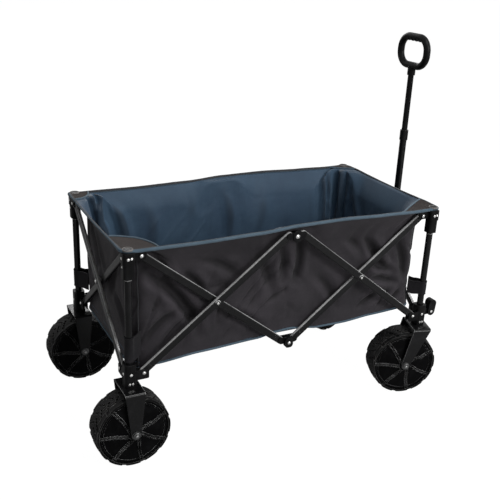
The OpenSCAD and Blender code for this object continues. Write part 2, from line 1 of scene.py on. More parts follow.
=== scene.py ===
"""Folding beach cart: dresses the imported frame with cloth, fasteners, finishes and a studio.

Metres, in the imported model's own frame: +X is the handle end, +Y the cart's left, +Z up.
"""
import logging
import math
from dataclasses import dataclass, field
from enum import Enum
from typing import Any, Callable, Iterable, Sequence

import bmesh
import bpy
from mathutils import Matrix, Vector, noise


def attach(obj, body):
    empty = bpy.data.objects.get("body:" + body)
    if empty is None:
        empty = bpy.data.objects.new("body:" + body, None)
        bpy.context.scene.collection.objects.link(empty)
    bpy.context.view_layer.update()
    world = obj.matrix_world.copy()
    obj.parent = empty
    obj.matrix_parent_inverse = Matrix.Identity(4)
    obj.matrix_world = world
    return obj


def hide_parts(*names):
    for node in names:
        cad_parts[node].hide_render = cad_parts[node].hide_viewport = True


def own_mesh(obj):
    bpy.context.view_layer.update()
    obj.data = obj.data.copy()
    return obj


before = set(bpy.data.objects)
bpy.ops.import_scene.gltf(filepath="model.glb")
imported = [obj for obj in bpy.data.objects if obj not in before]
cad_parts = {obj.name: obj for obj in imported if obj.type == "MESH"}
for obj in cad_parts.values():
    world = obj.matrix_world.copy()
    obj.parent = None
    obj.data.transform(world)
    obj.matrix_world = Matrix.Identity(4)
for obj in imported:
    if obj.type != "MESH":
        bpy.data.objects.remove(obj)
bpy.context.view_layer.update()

LOG = logging.getLogger("cart")
Point = tuple[float, float, float]
Colour = tuple[float, float, float]

# ---------- Sizes shared by several pieces ----------

MID_X = 0.0155
POST_X = 0.443
POST_Y = 0.226
LAYER = 0.006
CLEVIS = 0.008
STRUT_HALF = 0.005
PIN_HEAD = 0.0015
PIVOT_X = 0.410
PIVOT_Y = 0.195
BLOCK = 0.015
AXLE_Z = 0.097
CROWN_Z = 0.213
LOW_Z = CROWN_Z + 0.035
HIGH_Z = LOW_Z + 0.303
CROSS_Z = (LOW_Z + HIGH_Z) / 2
FLOOR_Z = LOW_Z + 0.008
BLOCK_TOP = HIGH_Z + 0.014
BASKET_X = 0.4255
BASKET_Y = 0.2085
BASKET_CORNER = 0.038
RIM_X = 0.463
RIM_Y = 0.236
RIM_CORNERS = {(-1, -1): 0.017, (1, -1): 0.009, (-1, 1): 0.008, (1, 1): 0.022}
HUB_X = 0.020
WALL_SPLIT = 0.1705
SHEET = 0.0016
SHARP_ANGLE = math.radians(38)


class End(Enum):
    """The two short ends of the cart."""

    REAR = -1
    FRONT = 1

    @property
    def word(self) -> str:
        """The end's name as it stands in node names."""
        return self.name.lower()


class Side(Enum):
    """The two long sides of the cart."""

    RIGHT = -1
    LEFT = 1

    @property
    def word(self) -> str:
        """The side's name as it stands in node names."""
        return self.name.lower()


class Slot(Enum):
    """The record's material slots; new pieces are handed one, but their finish is given to them directly.
    """

    FORK = "fork_steel"
    BRACKET = "bracket_plastic"
    GRIP = "grip_plastic"
    WHEEL = "wheel_plastic"
    TREAD = "tyre_tread"
    CLOTH = "basket_cloth"
    LINING = "basket_lining"


# ---------- Shader building ----------


class Wire:
    """A shader socket on which sums can be written as plain Python expressions."""

    def __init__(self, recipe: "Recipe", socket: bpy.types.NodeSocket) -> None:
        """Wraps a socket of one recipe's tree."""
        self.recipe = recipe
        self.socket = socket

    def maths(self, operation: str, *others: "Wire | float", clamp: bool = False) -> "Wire":
        """Adds one Math node.

        Args:
            operation: the node's operation.
            others: the second and third values.
            clamp: whether the result stays between 0 and 1.

        Returns:
            The node's result.
        """
        node = self.recipe.node("ShaderNodeMath", {"operation": operation, "use_clamp": clamp},
                                dict(enumerate((self, *others))))
        return Wire(self.recipe, node.outputs[0])

    def __add__(self, other: "Wire | float") -> "Wire":
        """Sum."""
        return self.maths("ADD", other)

    def __radd__(self, other: float) -> "Wire":
        """Reflected sum."""
        return self.maths("ADD", other)

    def __sub__(self, other: "Wire | float") -> "Wire":
        """Difference."""
        return self.maths("SUBTRACT", other)

    def __rsub__(self, other: float) -> "Wire":
        """Reflected difference."""
        return (self * -1.0).maths("ADD", other)

    def __mul__(self, other: "Wire | float") -> "Wire":
        """Product."""
        return self.maths("MULTIPLY", other)

    def __rmul__(self, other: float) -> "Wire":
        """Reflected product."""
        return self.maths("MULTIPLY", other)

    def __pow__(self, other: float) -> "Wire":
        """Power."""
        return self.maths("POWER", other)

    def smooth(self, low: float, high: float) -> "Wire":
        """Returns a smooth step from 0 at low to 1 at high."""
        node = self.recipe.node("ShaderNodeMapRange", {"interpolation_type": "SMOOTHSTEP"},
                                {"Value": self, "From Min": low, "From Max": high})
        return Wire(self.recipe, node.outputs[0])


class Recipe:
    """One material under construction: a Principled surface and what feeds it."""

    def __init__(self, name: str) -> None:
        """Starts an empty material with a Principled surface."""
        self.material = bpy.data.materials.new(name)
        self.material.use_nodes = True
        self.tree = self.material.node_tree
        self.tree.nodes.clear()
        self.surface = self.node("ShaderNodeBsdfPrincipled")
        self.node("ShaderNodeOutputMaterial", {}, {"Surface": self.surface.outputs["BSDF"]})

    def node(self, kind: str, settings: dict[str, Any] | None = None,
             inputs: dict[str | int, Any] | None = None) -> bpy.types.Node:
        """Adds a node.

        Args:
            kind: the node's type.
            settings: its own settings; a ramp's "stops" are (position, colour) pairs.
            inputs: values or links of its sockets, by name or number.

        Returns:
            The node.
        """
        node = self.tree.nodes.new(kind)
        for key, value in (settings or {}).items():
            if key == "stops":
                ramp = node.color_ramp
                while len(ramp.elements) < len(value):
                    ramp.elements.new(0.5)
                for element, (position, colour) in zip(ramp.elements, value):
                    element.position = position
                    element.color = (*colour, 1.0)
            else:
                setattr(node, key, value)
        for key, value in (inputs or {}).items():
            self.feed(node.inputs[key], value)
        return node

    def feed(self, socket: bpy.types.NodeSocket, value: Any) -> None:
        """Links a wire or a socket to a socket, or sets its plain value."""
        if isinstance(value, Wire):
            self.tree.links.new(value.socket, socket)
        elif isinstance(value, bpy.types.NodeSocket):
            self.tree.links.new(value, socket)
        else:
            socket.default_value = value

    def wire(self, node: bpy.types.Node, output: str | int = 0) -> Wire:
        """Wraps one output of a node."""
        return Wire(self, node.outputs[output])

    def place(self, kind: str = "Object", scale: Point = (1.0, 1.0, 1.0),
              turn: Point = (0.0, 0.0, 0.0)) -> Wire:
        """Returns object or UV coordinates, scaled and turned."""
        coordinates = self.node("ShaderNodeTexCoord")
        mapping = self.node("ShaderNodeMapping", {},
                            {"Vector": coordinates.outputs[kind], "Scale": scale, "Rotation": turn})
        return self.wire(mapping)

    def noise(self, scale: float, detail: float = 3.0, rough: float = 0.5,
              where: Wire | None = None) -> Wire:
        """Returns fractal noise, about 0.5 on average."""
        node = self.node("ShaderNodeTexNoise", {}, {
            "Vector": where or self.place(), "Scale": scale, "Detail": detail, "Roughness": rough})
        return self.wire(node)

    def blend(self, factor: Wire | float, first: Any, second: Any) -> Wire:
        """Returns a mix of two colours, each a colour or a wire."""
        node = self.node("ShaderNodeMix", {"data_type": "RGBA"})
        self.feed(node.inputs[0], factor)
        for socket, colour in ((node.inputs[6], first), (node.inputs[7], second)):
            self.feed(socket, colour if isinstance(colour, Wire) else (*colour, 1.0))
        return self.wire(node, 2)

    def bump(self, height: Wire, distance: float, strength: float = 1.0,
             edge: float = 0.0) -> Wire:
        """Returns a bumped normal.

        Args:
            height: the height pattern.
            distance: how far height 1 stands out, in metres.
            strength: share of the effect.
            edge: radius of softened edges under the bump, in metres, or 0.
        """
        inputs: dict[str | int, Any] = {"Height": height, "Distance": distance, "Strength": strength}
        if edge:
            inputs["Normal"] = self.node("ShaderNodeBevel", {"samples": 6}, {"Radius": edge}).outputs[0]
        return self.wire(self.node("ShaderNodeBump", {}, inputs))

    def edges(self, radius: float, low: float = 0.01, high: float = 0.16,
              upward: bool = False) -> Wire:
        """Returns 1 along sharp edges and 0 on open faces.

        Args:
            radius: how far the effect reaches from an edge, in metres.
            low: bend below which nothing shows.
            high: bend from which the edge is at its full.
            upward: whether only edges that face up count.
        """
        soft = self.node("ShaderNodeBevel", {"samples": 8}, {"Radius": radius})
        true = self.node("ShaderNodeNewGeometry")
        dot = self.node("ShaderNodeVectorMath", {"operation": "DOT_PRODUCT"},
                        {0: soft.outputs[0], 1: true.outputs["Normal"]})
        sharp = (1.0 - self.wire(dot, "Value")).smooth(low, high)
        if not upward:
            return sharp
        parts = self.node("ShaderNodeSeparateXYZ", {}, {0: soft.outputs[0]})
        return sharp * self.wire(parts, 2).smooth(0.0, 0.3)

    def lifted(self, low: float, high: float) -> Wire:
        """Returns 0 to 1 as the surface turns to face up, between two heights of its normal."""
        true = self.node("ShaderNodeNewGeometry")
        parts = self.node("ShaderNodeSeparateXYZ", {}, {0: true.outputs["Normal"]})
        return self.wire(parts, 2).smooth(low, high)

    def finish(self, **sockets: Any) -> bpy.types.Material:
        """Feeds the surface, with underscores for the spaces in socket names, and returns it."""
        for key, value in sockets.items():
            self.feed(self.surface.inputs[key.replace("_", " ")], value)
        return self.material


class Finish:
    """A named finish that makes its material once."""

    made: dict[str, bpy.types.Material] = {}

    def material(self) -> bpy.types.Material:
        """Returns the finish's material, made on first use."""
        if self.name not in self.made:
            self.made[self.name] = self.make()
        return self.made[self.name]

    def make(self) -> bpy.types.Material:
        """Builds the material."""
        raise NotImplementedError


@dataclass(frozen=True)
class CoatedSteel(Finish):
    """Black powder coat on steel: fine orange peel, upward edges lightened as rubbed wear and a painted
    highlight, rubbed patches, a little dust.
    """

    name: str
    colour: Colour = (0.0034, 0.0034, 0.0038)
    rubbed: Colour = (0.0080, 0.0080, 0.0088)
    # Colour of upward edges and tops: partly rubbed wear, partly a painted highlight.
    edge_colour: Colour = (0.105, 0.105, 0.108)
    roughness: float = 0.30
    edge: float = 0.0012
    wear: float = 0.75
    coat: float = 0.34
    top_coat: float = 0.34
    # Share of the light colour on faces that look up: a painted highlight.
    top_wear: float = 0.0

    def make(self) -> bpy.types.Material:
        """Builds the coat; faces that look up are rubbed to a deeper gloss, and upward edges and tops take
        a painted highlight, partly rubbed wear, in their colour.
        """
        recipe = Recipe(self.name)
        patches = recipe.noise(28.0, 5.0, 0.62)
        dust = recipe.noise(190.0, 4.0, 0.7)
        peel = recipe.noise(1500.0, 2.0, 0.5)
        # Upward edges, and faces that look up when a top highlight share is set, take the light edge
        # colour: a painted highlight, broken up by the wear noise.
        rubbed = recipe.edges(self.edge * 0.7, 0.004, 0.10, True)
        if self.top_wear:
            rubbed = (rubbed + recipe.lifted(0.42, 0.76) * self.top_wear).maths("MINIMUM", 1.0)
        worn = rubbed * (patches + dust * 0.5).smooth(0.25, 0.85) * self.wear
        colour = recipe.blend(patches.smooth(0.50, 0.74), self.colour, self.rubbed)
        colour = recipe.blend(dust.smooth(0.62, 0.80) * 0.16, colour, (0.036, 0.035, 0.033))
        colour = recipe.blend(worn, colour, self.edge_colour)
        gloss = recipe.lifted(0.35, 0.70) * (self.top_coat - self.coat) + self.coat
        rough = self.roughness + 0.14 * (patches - 0.5) + 0.12 * (dust - 0.5)
        return recipe.finish(Base_Color=colour, Roughness=rough, Metallic=0.0, Specular_IOR_Level=0.05,
                             Normal=recipe.bump(peel, 0.00003, 0.5, self.edge),
                             Coat_Weight=gloss, Coat_Roughness=0.14)


@dataclass(frozen=True)
class MouldedPlastic(Finish):
    """Black moulded plastic with a fine spark-eroded grain, handling marks and edges lightened partly as
    wear and partly as a painted highlight.
    """

    name: str
    colour: Colour = (0.0026, 0.0026, 0.0029)
    worn: Colour = (0.0070, 0.0070, 0.0076)
    edge_colour: Colour = (0.055, 0.055, 0.057)
    roughness: float = 0.42
    grain: float = 1100.0
    edge: float = 0.0012
    wear: float = 0.45
    specular: float = 0.10

    def make(self) -> bpy.types.Material:
        """Builds the plastic."""
        recipe = Recipe(self.name)
        cloud = recipe.noise(36.0, 4.0, 0.6)
        marks = recipe.noise(240.0, 5.0, 0.72)
        grain = recipe.noise(self.grain, 2.0, 0.6)
        # Edges take the edge colour: partly rubbed wear, partly a painted highlight, strongest on the
        # wheel's ribs.
        rubbed = recipe.edges(self.edge) * (cloud + marks * 0.6).smooth(0.55, 1.0) * self.wear
        colour = recipe.blend(cloud.smooth(0.46, 0.72), self.colour, self.worn)
        colour = recipe.blend(marks.smooth(0.64, 0.82) * 0.2, colour, (0.040, 0.039, 0.038))
        colour = recipe.blend(rubbed, colour, self.edge_colour)
        rough = self.roughness + 0.2 * (cloud - 0.5) + 0.1 * (grain - 0.5)
        return recipe.finish(Base_Color=colour, Roughness=rough, Specular_IOR_Level=self.specular,
                             Normal=recipe.bump(grain + 0.6 * marks, 0.00010, 0.6, self.edge))


@dataclass(frozen=True)
class TreadRubber(Finish):
    """Tread compound: almost black, dull, with pale dust caught in its grain and lug edges lightened partly
    as scuffs and partly as a painted highlight.
    """

    name: str
    colour: Colour = (0.0014, 0.0014, 0.0016)
    dusty: Colour = (0.0060, 0.0058, 0.0056)
    edge_colour: Colour = (0.190, 0.188, 0.184)

    def make(self) -> bpy.types.Material:
        """Builds the rubber."""
        recipe = Recipe(self.name)
        cloud = recipe.noise(40.0, 5.0, 0.65)
        pores = recipe.noise(700.0, 3.0, 0.6)
        # Lug edges take the pale edge colour: partly scuffs, partly a painted highlight.
        scuffed_and_lit_edges = recipe.edges(0.0024, 0.02, 0.20) * (cloud + pores * 0.4).smooth(0.45, 0.85)
        colour = recipe.blend((cloud * 0.7 + pores * 0.3).smooth(0.46, 0.70), self.colour, self.dusty)
        colour = recipe.blend(scuffed_and_lit_edges * 0.7, colour, self.edge_colour)
        return recipe.finish(Base_Color=colour, Roughness=0.56 + 0.3 * (cloud - 0.5),
                             Specular_IOR_Level=0.10,
                             Normal=recipe.bump(pores + cloud * 0.5, 0.00022, 0.7, 0.0016))


@dataclass(frozen=True)
class ZincSteel(Finish):
    """Bright zinc on rivet heads, bolts and washers, with fine turning marks."""

    name: str
    colour: Colour = (0.74, 0.74, 0.73)
    tarnish: Colour = (0.40, 0.40, 0.39)

    def make(self) -> bpy.types.Material:
        """Builds the plating."""
        recipe = Recipe(self.name)
        cloud = recipe.noise(420.0, 4.0, 0.6)
        scratch = recipe.noise(900.0, 3.0, 0.6, recipe.place(scale=(1.0, 1.0, 7.0)))
        colour = recipe.blend(cloud.smooth(0.45, 0.75), self.colour, self.tarnish)
        return recipe.finish(Base_Color=colour, Metallic=1.0,
                             Roughness=0.24 + 0.22 * cloud,
                             Normal=recipe.bump(scratch, 0.00004, 0.6))


@dataclass(frozen=True)
class WovenCloth(Finish):
    """Coated polyester in a plain weave, read from the piece's own UV map in metres."""

    name: str
    colour: Colour
    light: Colour
    pitch: float = 0.0011
    roughness: float = 0.72
    sheen: float = 0.08
    relief: float = 0.00016
    specular: float = 0.25

    def make(self) -> bpy.types.Material:
        """Builds the weave: two crossed sets of threads, slubs and faded patches, with painted shade in
        fold valleys and a painted highlight on fold ridges.
        """
        recipe = Recipe(self.name)
        turns = 1.0 / self.pitch
        flat = recipe.place("UV")
        split = recipe.node("ShaderNodeSeparateXYZ", {}, {0: flat})
        across, along = recipe.wire(split, 0), recipe.wire(split, 1)
        phase = math.pi * turns
        warp = (across * phase).maths("SINE")
        weft = (along * phase).maths("SINE")
        threads = (warp * weft) * 0.5 + 0.5
        slub_a = recipe.noise(1.0, 2.0, 0.5, recipe.place("UV", (turns * 0.9, 14.0, 1.0)))
        slub_b = recipe.noise(1.0, 2.0, 0.5, recipe.place("UV", (14.0, turns * 0.9, 1.0)))
        slubs = slub_a * 0.5 + slub_b * 0.5
        fade = recipe.noise(5.5, 5.0, 0.6)
        rub = recipe.noise(38.0, 4.0, 0.7)
        mask = (fade * 0.55 + slubs * 0.25 + threads * 0.12 + rub * 0.18).smooth(0.36, 0.80)
        # The fold-shade layer holds fold depth. Valleys are darkened as painted shade with some dust, and
        # ridges are lightened as a painted highlight with some rubbing.
        valley = recipe.wire(recipe.node("ShaderNodeAttribute", {"attribute_name": "valley"}), "Fac")
        colour = recipe.blend(mask, self.colour, self.light)
        colour = recipe.blend(valley.smooth(0.0, 1.6) * 0.72, colour, tuple(c * 0.3 for c in self.colour))
        colour = recipe.blend((valley * -1.0).smooth(0.2, 2.0) * 0.35, colour,
                              tuple(c * 1.35 for c in self.light))
        height = threads + slubs * 0.8 + rub * 0.6
        return recipe.finish(Base_Color=colour, Roughness=self.roughness + 0.16 * (slubs - 0.5),
                             Normal=recipe.bump(height, self.relief, 0.7), Specular_IOR_Level=self.specular,
                             Sheen_Weight=self.sheen, Sheen_Roughness=0.5)


@dataclass(frozen=True)
class Webbing(Finish):
    """Ribbed tape: rows of cords across the tape, read from the piece's own UV map in metres."""

    name: str
    colour: Colour
    light: Colour
    pitch: float = 0.0016

    def make(self) -> bpy.types.Material:
        """Builds the tape."""
        recipe = Recipe(self.name)
        split = recipe.node("ShaderNodeSeparateXYZ", {}, {0: recipe.place("UV")})
        phase = 2.0 * math.pi / self.pitch
        ribs = (recipe.wire(split, 0) * phase).maths("SINE") * 0.5 + 0.5
        fuzz = recipe.noise(420.0, 4.0, 0.65)
        fade = recipe.noise(14.0, 4.0, 0.6)
        colour = recipe.blend((fade * 0.6 + fuzz * 0.3 + ribs * 0.2).smooth(0.35, 0.85),
                              self.colour, self.light)
        return recipe.finish(Base_Color=colour, Roughness=0.74 + 0.14 * (fuzz - 0.5),
                             Normal=recipe.bump(ribs + fuzz * 0.5, 0.00018, 0.7),
                             Specular_IOR_Level=0.25, Sheen_Weight=0.1)


# The pale edge colour, and on the frame the top highlight share, paint highlights along the tubes' upper
# edges and tops, partly as rubbed wear.
FRAME_COAT = CoatedSteel("satin_frame_coat", edge_colour=(0.60, 0.60, 0.60), edge=0.0040, wear=0.95,
                         top_coat=1.0, top_wear=0.9)
FORK_COAT = CoatedSteel("fork_coat", edge_colour=(0.42, 0.42, 0.42), roughness=0.38, edge=0.0044,
                        wear=0.9)
HANDLE_COAT = CoatedSteel("handle_coat", roughness=0.30)
BRACKET = MouldedPlastic("bracket_nylon")
GRIP = MouldedPlastic("grip_plastic", roughness=0.40, grain=800.0)
# The wheel's pale edge colour paints highlights along its ribs' edges, partly as wear.
WHEEL = MouldedPlastic("wheel_plastic", (0.0014, 0.0014, 0.0016), (0.0040, 0.0040, 0.0044),
                       edge_colour=(0.50, 0.50, 0.50), roughness=0.36, grain=700.0, edge=0.0008,
                       wear=1.0, specular=0.04)
TREAD = TreadRubber("tread_rubber")
ZINC = ZincSteel("bright_zinc")
AXLE_STEEL = ZincSteel("axle_steel", (0.30, 0.30, 0.30), (0.15, 0.15, 0.15))
DARK_STEEL = ZincSteel("dark_steel", (0.11, 0.11, 0.11), (0.05, 0.05, 0.05))
CHARCOAL = WovenCloth("charcoal_cloth", (0.0128, 0.0114, 0.0138), (0.0350, 0.0308, 0.0362),
                      sheen=0.06, specular=0.20)
NAVY = WovenCloth("navy_lining", (0.0225, 0.045, 0.078), (0.045, 0.084, 0.130), roughness=0.62)
STRAP = WovenCloth("strap_cloth", (0.0070, 0.0066, 0.0078), (0.0180, 0.0168, 0.0195), sheen=0.03,
                   specular=0.10)
BLUE_TAPE = Webbing("blue_binding", (0.050, 0.082, 0.112), (0.092, 0.134, 0.172))
# Pale grey tape: the eyelet rings, where its paleness is a painted highlight.
GREY_TAPE = Webbing("grey_binding", (0.110, 0.104, 0.100), (0.210, 0.200, 0.195))
# Dark tape: the seam cords, and the inner upper side of each hem roll, where it is a painted shade line.
DARK_TAPE = Webbing("dark_binding", (0.012, 0.013, 0.015), (0.034, 0.034, 0.038))
PATCH = WovenCloth("patch_cloth", (0.0140, 0.0110, 0.0102), (0.0420, 0.0330, 0.0310), pitch=0.0018,
                   sheen=0.03, relief=0.00030, specular=0.06)


# ---------- Mesh building ----------


def place_object(name: str, data: Any) -> bpy.types.Object:
    """Makes an object of some data and puts it in the scene."""
    made = bpy.data.objects.new(name, data)
    bpy.context.scene.collection.objects.link(made)
    return made


def thicken(piece: bpy.types.Object, thickness: float) -> bpy.types.Modifier:
    """Gives a sheet its thickness, inward of its face."""
    shell = piece.modifiers.new("thickness", "SOLIDIFY")
    shell.thickness = thickness
    shell.offset = -1.0
    return shell


def lay_flat_map(mesh: bmesh.types.BMesh) -> None:
    """Maps a level sheet as seen from above, in metres."""
    uv = mesh.loops.layers.uv.verify()
    for face in mesh.faces:
        for loop in face.loops:
            loop[uv].uv = (loop.vert.co.x, loop.vert.co.y)


class Shape:
    """A mesh under construction, finished into an object that rides on a body."""

    def __init__(self, name: str) -> None:
        """Starts an empty mesh."""
        self.name = name
        self.mesh = bmesh.new()

    def lathe(self, profile: Sequence[tuple[float, float]], centre: Point, axis: Vector,
              steps: int = 28) -> "Shape":
        """Adds a turned solid.

        Args:
            profile: (radius, height) points from the axis at the foot to the axis at the top.
            centre: the foot's centre.
            axis: direction of height.
            steps: facets round.
        """
        start = [self.mesh.verts.new((radius, 0.0, height)) for radius, height in profile]
        edges = [self.mesh.edges.new(pair) for pair in zip(start, start[1:])]
        made = bmesh.ops.spin(self.mesh, geom=start + edges, cent=(0, 0, 0), axis=(0, 0, 1),
                              angle=math.tau, steps=steps, use_merge=True, use_duplicate=False)
        verts = self._region(start, made["geom_last"])
        bmesh.ops.remove_doubles(self.mesh, verts=verts, dist=1e-6)
        verts = self._region([v for v in start if v.is_valid], [])
        turn = Vector((0, 0, 1)).rotation_difference(axis.normalized()).to_matrix().to_4x4()
        bmesh.ops.transform(self.mesh, verts=verts, matrix=Matrix.Translation(centre) @ turn)
        return self

    @staticmethod
    def _region(seeds: Iterable[bmesh.types.BMVert], extra: Iterable[Any]) -> list[bmesh.types.BMVert]:
        """Returns every vertex joined by edges to the seeds."""
        seen = set(seeds) | {item for item in extra if isinstance(item, bmesh.types.BMVert)}
        queue = list(seen)
        while queue:
            for edge in queue.pop().link_edges:
                for vert in edge.verts:
                    if vert not in seen:
                        seen.add(vert)
                        queue.append(vert)
        return list(seen)

    def sweep(self, path: Sequence[Vector], section: Callable[[int], Sequence[Vector]]) -> "Shape":
        """Adds a tube with closed ends by extruding a ring of points along a path.

        Args:
            path: the path's points.
            section: gives the ring's points, placed, for a step of the path.
        """
        uv = self.mesh.loops.layers.uv.verify()
        ring = [self.mesh.verts.new(p) for p in section(0)]
        first = ring
        edges = [self.mesh.edges.new((a, b)) for a, b in zip(ring, ring[1:] + ring[:1])]
        length = 0.0
        for step in range(1, len(path)):
            made = bmesh.ops.extrude_edge_only(self.mesh, edges=edges)["geom"]
            faces = [g for g in made if isinstance(g, bmesh.types.BMFace)]
            ring_next = []
            for vert in ring:
                ring_next.append(next(e.other_vert(vert) for e in vert.link_edges
                                      if e.other_vert(vert) in made))
            for vert, place in zip(ring_next, section(step)):
                vert.co = place
            before, length = length, length + (path[step] - path[step - 1]).length
            width = 0.0
            around = {}
            for index, vert in enumerate(ring_next):
                around[vert] = width
                width += (ring_next[(index + 1) % len(ring_next)].co - vert.co).length
            for vert, new in zip(ring, ring_next):
                around[vert] = around[new]
            new_set = set(ring_next)
            for face in faces:
                for loop in face.loops:
                    loop[uv].uv = (length if loop.vert in new_set else before, around[loop.vert])
            edges = [e for e in made if isinstance(e, bmesh.types.BMEdge)
                     and e.verts[0] in new_set and e.verts[1] in new_set]
            ring = ring_next
        self.mesh.faces.new(list(reversed(first)))
        self.mesh.faces.new(ring)
        return self

    def finish(self, finishes: Sequence[Finish], body: str, slot: Slot) -> bpy.types.Object:
        """Turns the mesh into a piece on a body.

        Args:
            finishes: the finishes of the mesh's material numbers.
            body: the body that carries the piece.
            slot: the record's slot; not used.

        Returns:
            The object.
        """
        bmesh.ops.recalc_face_normals(self.mesh, faces=self.mesh.faces)
        for face in self.mesh.faces:
            face.smooth = True
        for edge in self.mesh.edges:
            if len(edge.link_faces) == 2 and edge.calc_face_angle(0.0) > SHARP_ANGLE:
                edge.smooth = False
        data = bpy.data.meshes.new(self.name)
        self.mesh.to_mesh(data)
        self.mesh.free()
        for finish in finishes:
            data.materials.append(finish.material())
        piece = place_object(self.name, data)
        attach(piece, body)
        LOG.info("%s: %d faces on %s", self.name, len(data.polygons), body)
        return piece


def ring_section(path: Sequence[Vector], radius: float,
                 count: int = 10) -> Callable[[int], list[Vector]]:
    """Returns a round section for a sweep that keeps its own up direction near +Z."""
    def place(step: int) -> list[Vector]:
        """Gives the ring at one step."""
        before, after = path[max(step - 1, 0)], path[min(step + 1, len(path) - 1)]
        along = (after - before).normalized()
        up = Vector((0, 0, 1)) if abs(along.z) < 0.9 else Vector((0, 1, 0))
        side = along.cross(up).normalized()
        lift = side.cross(along).normalized()
        return [path[step] + side * (radius * math.cos(math.tau * k / count))
                + lift * (radius * math.sin(math.tau * k / count)) for k in range(count)]
    return place


def smooth_step(value: float) -> float:
    """Returns a smooth 0 to 1 ramp of a value."""
    value = min(max(value, 0.0), 1.0)
    return value * value * (3 - 2 * value)


def through(points: Sequence[tuple[float, float]], x: float) -> float:
    """Returns a smooth curve through (x, y) points, by cubic pieces."""
    if x <= points[0][0]:
        return points[0][1]
    for (x0, y0), (x1, y1) in zip(points, points[1:]):
        if x <= x1:
            return y0 + (y1 - y0) * smooth_step((x - x0) / (x1 - x0))
    return points[-1][1]


# ---------- Basket ----------


@dataclass(frozen=True)
class Crease:
    """A wrinkle across a wall, in metres along and up the wall; depth is inward."""

    start: tuple[float, float]
    end: tuple[float, float]
    depth: float
    width: float

    def at(self, along: float, up: float) -> float:
        """Returns how far the wrinkle moves a point of the wall inward."""
        ax, ay = self.start
        bx, by = self.end
        dx, dy = bx - ax, by - ay
        size = dx * dx + dy * dy
        t = min(max(((along - ax) * dx + (up - ay) * dy) / size, 0.0), 1.0)
        bow = 0.06 * math.sin(math.pi * t) * math.sqrt(size)
        px, py = ax + dx * t - dy * bow / math.sqrt(size), ay + dy * t + dx * bow / math.sqrt(size)
        far = math.hypot(along - px, up - py) / self.width
        if far > 3.0:
            return 0.0
        ridge = math.exp(-far * far) - 0.45 * math.exp(-(far - 1.5) ** 2)
        return self.depth * ridge * math.sin(math.pi * min(max(t, 0.04), 0.96)) ** 0.6


def plan_point(along: float, half_x: float, half_y: float, corner: float) -> Vector:
    """Returns a point of a rounded side path.

    Args:
        along: distance along the path from its middle, positive towards the front.
        half_x: half the path's length in X.
        half_y: the straight part's distance in Y.
        corner: radius of the two corners.

    Returns:
        The point, with Y as a positive distance.
    """
    straight = half_x - corner
    sign = 1.0 if along >= 0 else -1.0
    left = abs(along) - straight
    if left <= 0:
        return Vector((MID_X + along, half_y, 0.0))
    angle = left / corner
    if angle <= math.pi / 2:
        return Vector((MID_X + sign * (straight + corner * math.sin(angle)),
                       half_y - corner + corner * math.cos(angle), 0.0))
    return Vector((MID_X + sign * half_x, half_y - corner - (left - corner * math.pi / 2), 0.0))


def rim_height(x: float) -> float:
    """Returns the height of the rim's top: it sags between the posts and lifts over a hub."""
    return through([(-0.46, 0.5740), (-0.40, 0.5715), (-0.25, 0.5700), (-0.09, 0.5725),
                    (0.03, 0.5790), (0.15, 0.5800), (0.30, 0.5755), (0.40, 0.5730),
                    (0.47, 0.5740)], x)


def hem_height(x: float) -> float:
    """Returns the height of the basket's lower edge, which hangs a little between its ties."""
    return through([(-0.42, 0.2375), (-0.35, 0.2485), (-0.23, 0.2565), (-0.07, 0.2620),
                    (-0.02, 0.2690), (0.03, 0.2720), (0.07, 0.2660), (0.12, 0.2590),
                    (0.20, 0.2580), (0.30, 0.2640), (0.43, 0.2680)], x)


def held_flat(x: float, y: float) -> float:
    """Returns 1 where the rim's cloth lies flat over a bracket or a hub, and 0 between them."""
    post = math.hypot(abs(x - MID_X) - POST_X, abs(y) - POST_Y)
    near_post = 1.0 - smooth_step((post - 0.050) / 0.060)
    near_hub = 1.0 - smooth_step((abs(x - MID_X) - 0.030) / 0.055)
    return max(near_post, near_hub if abs(y) > WALL_SPLIT else 0.0)


def free_bend(foot: Vector) -> float:
    """Returns the height at which a wall that hangs free turns out, clear above the struts."""
    across = abs(foot.x - MID_X)
    if abs(foot.y) > WALL_SPLIT and across < BASKET_X - 0.010:
        share = abs(across - (PIVOT_X + HUB_X) / 2) / ((PIVOT_X - HUB_X) / 2)
    else:
        share = abs(foot.y) / PIVOT_Y
    return max(CROSS_Z + (HIGH_Z - CROSS_Z) * min(share, 1.0) + 0.018, 0.500)


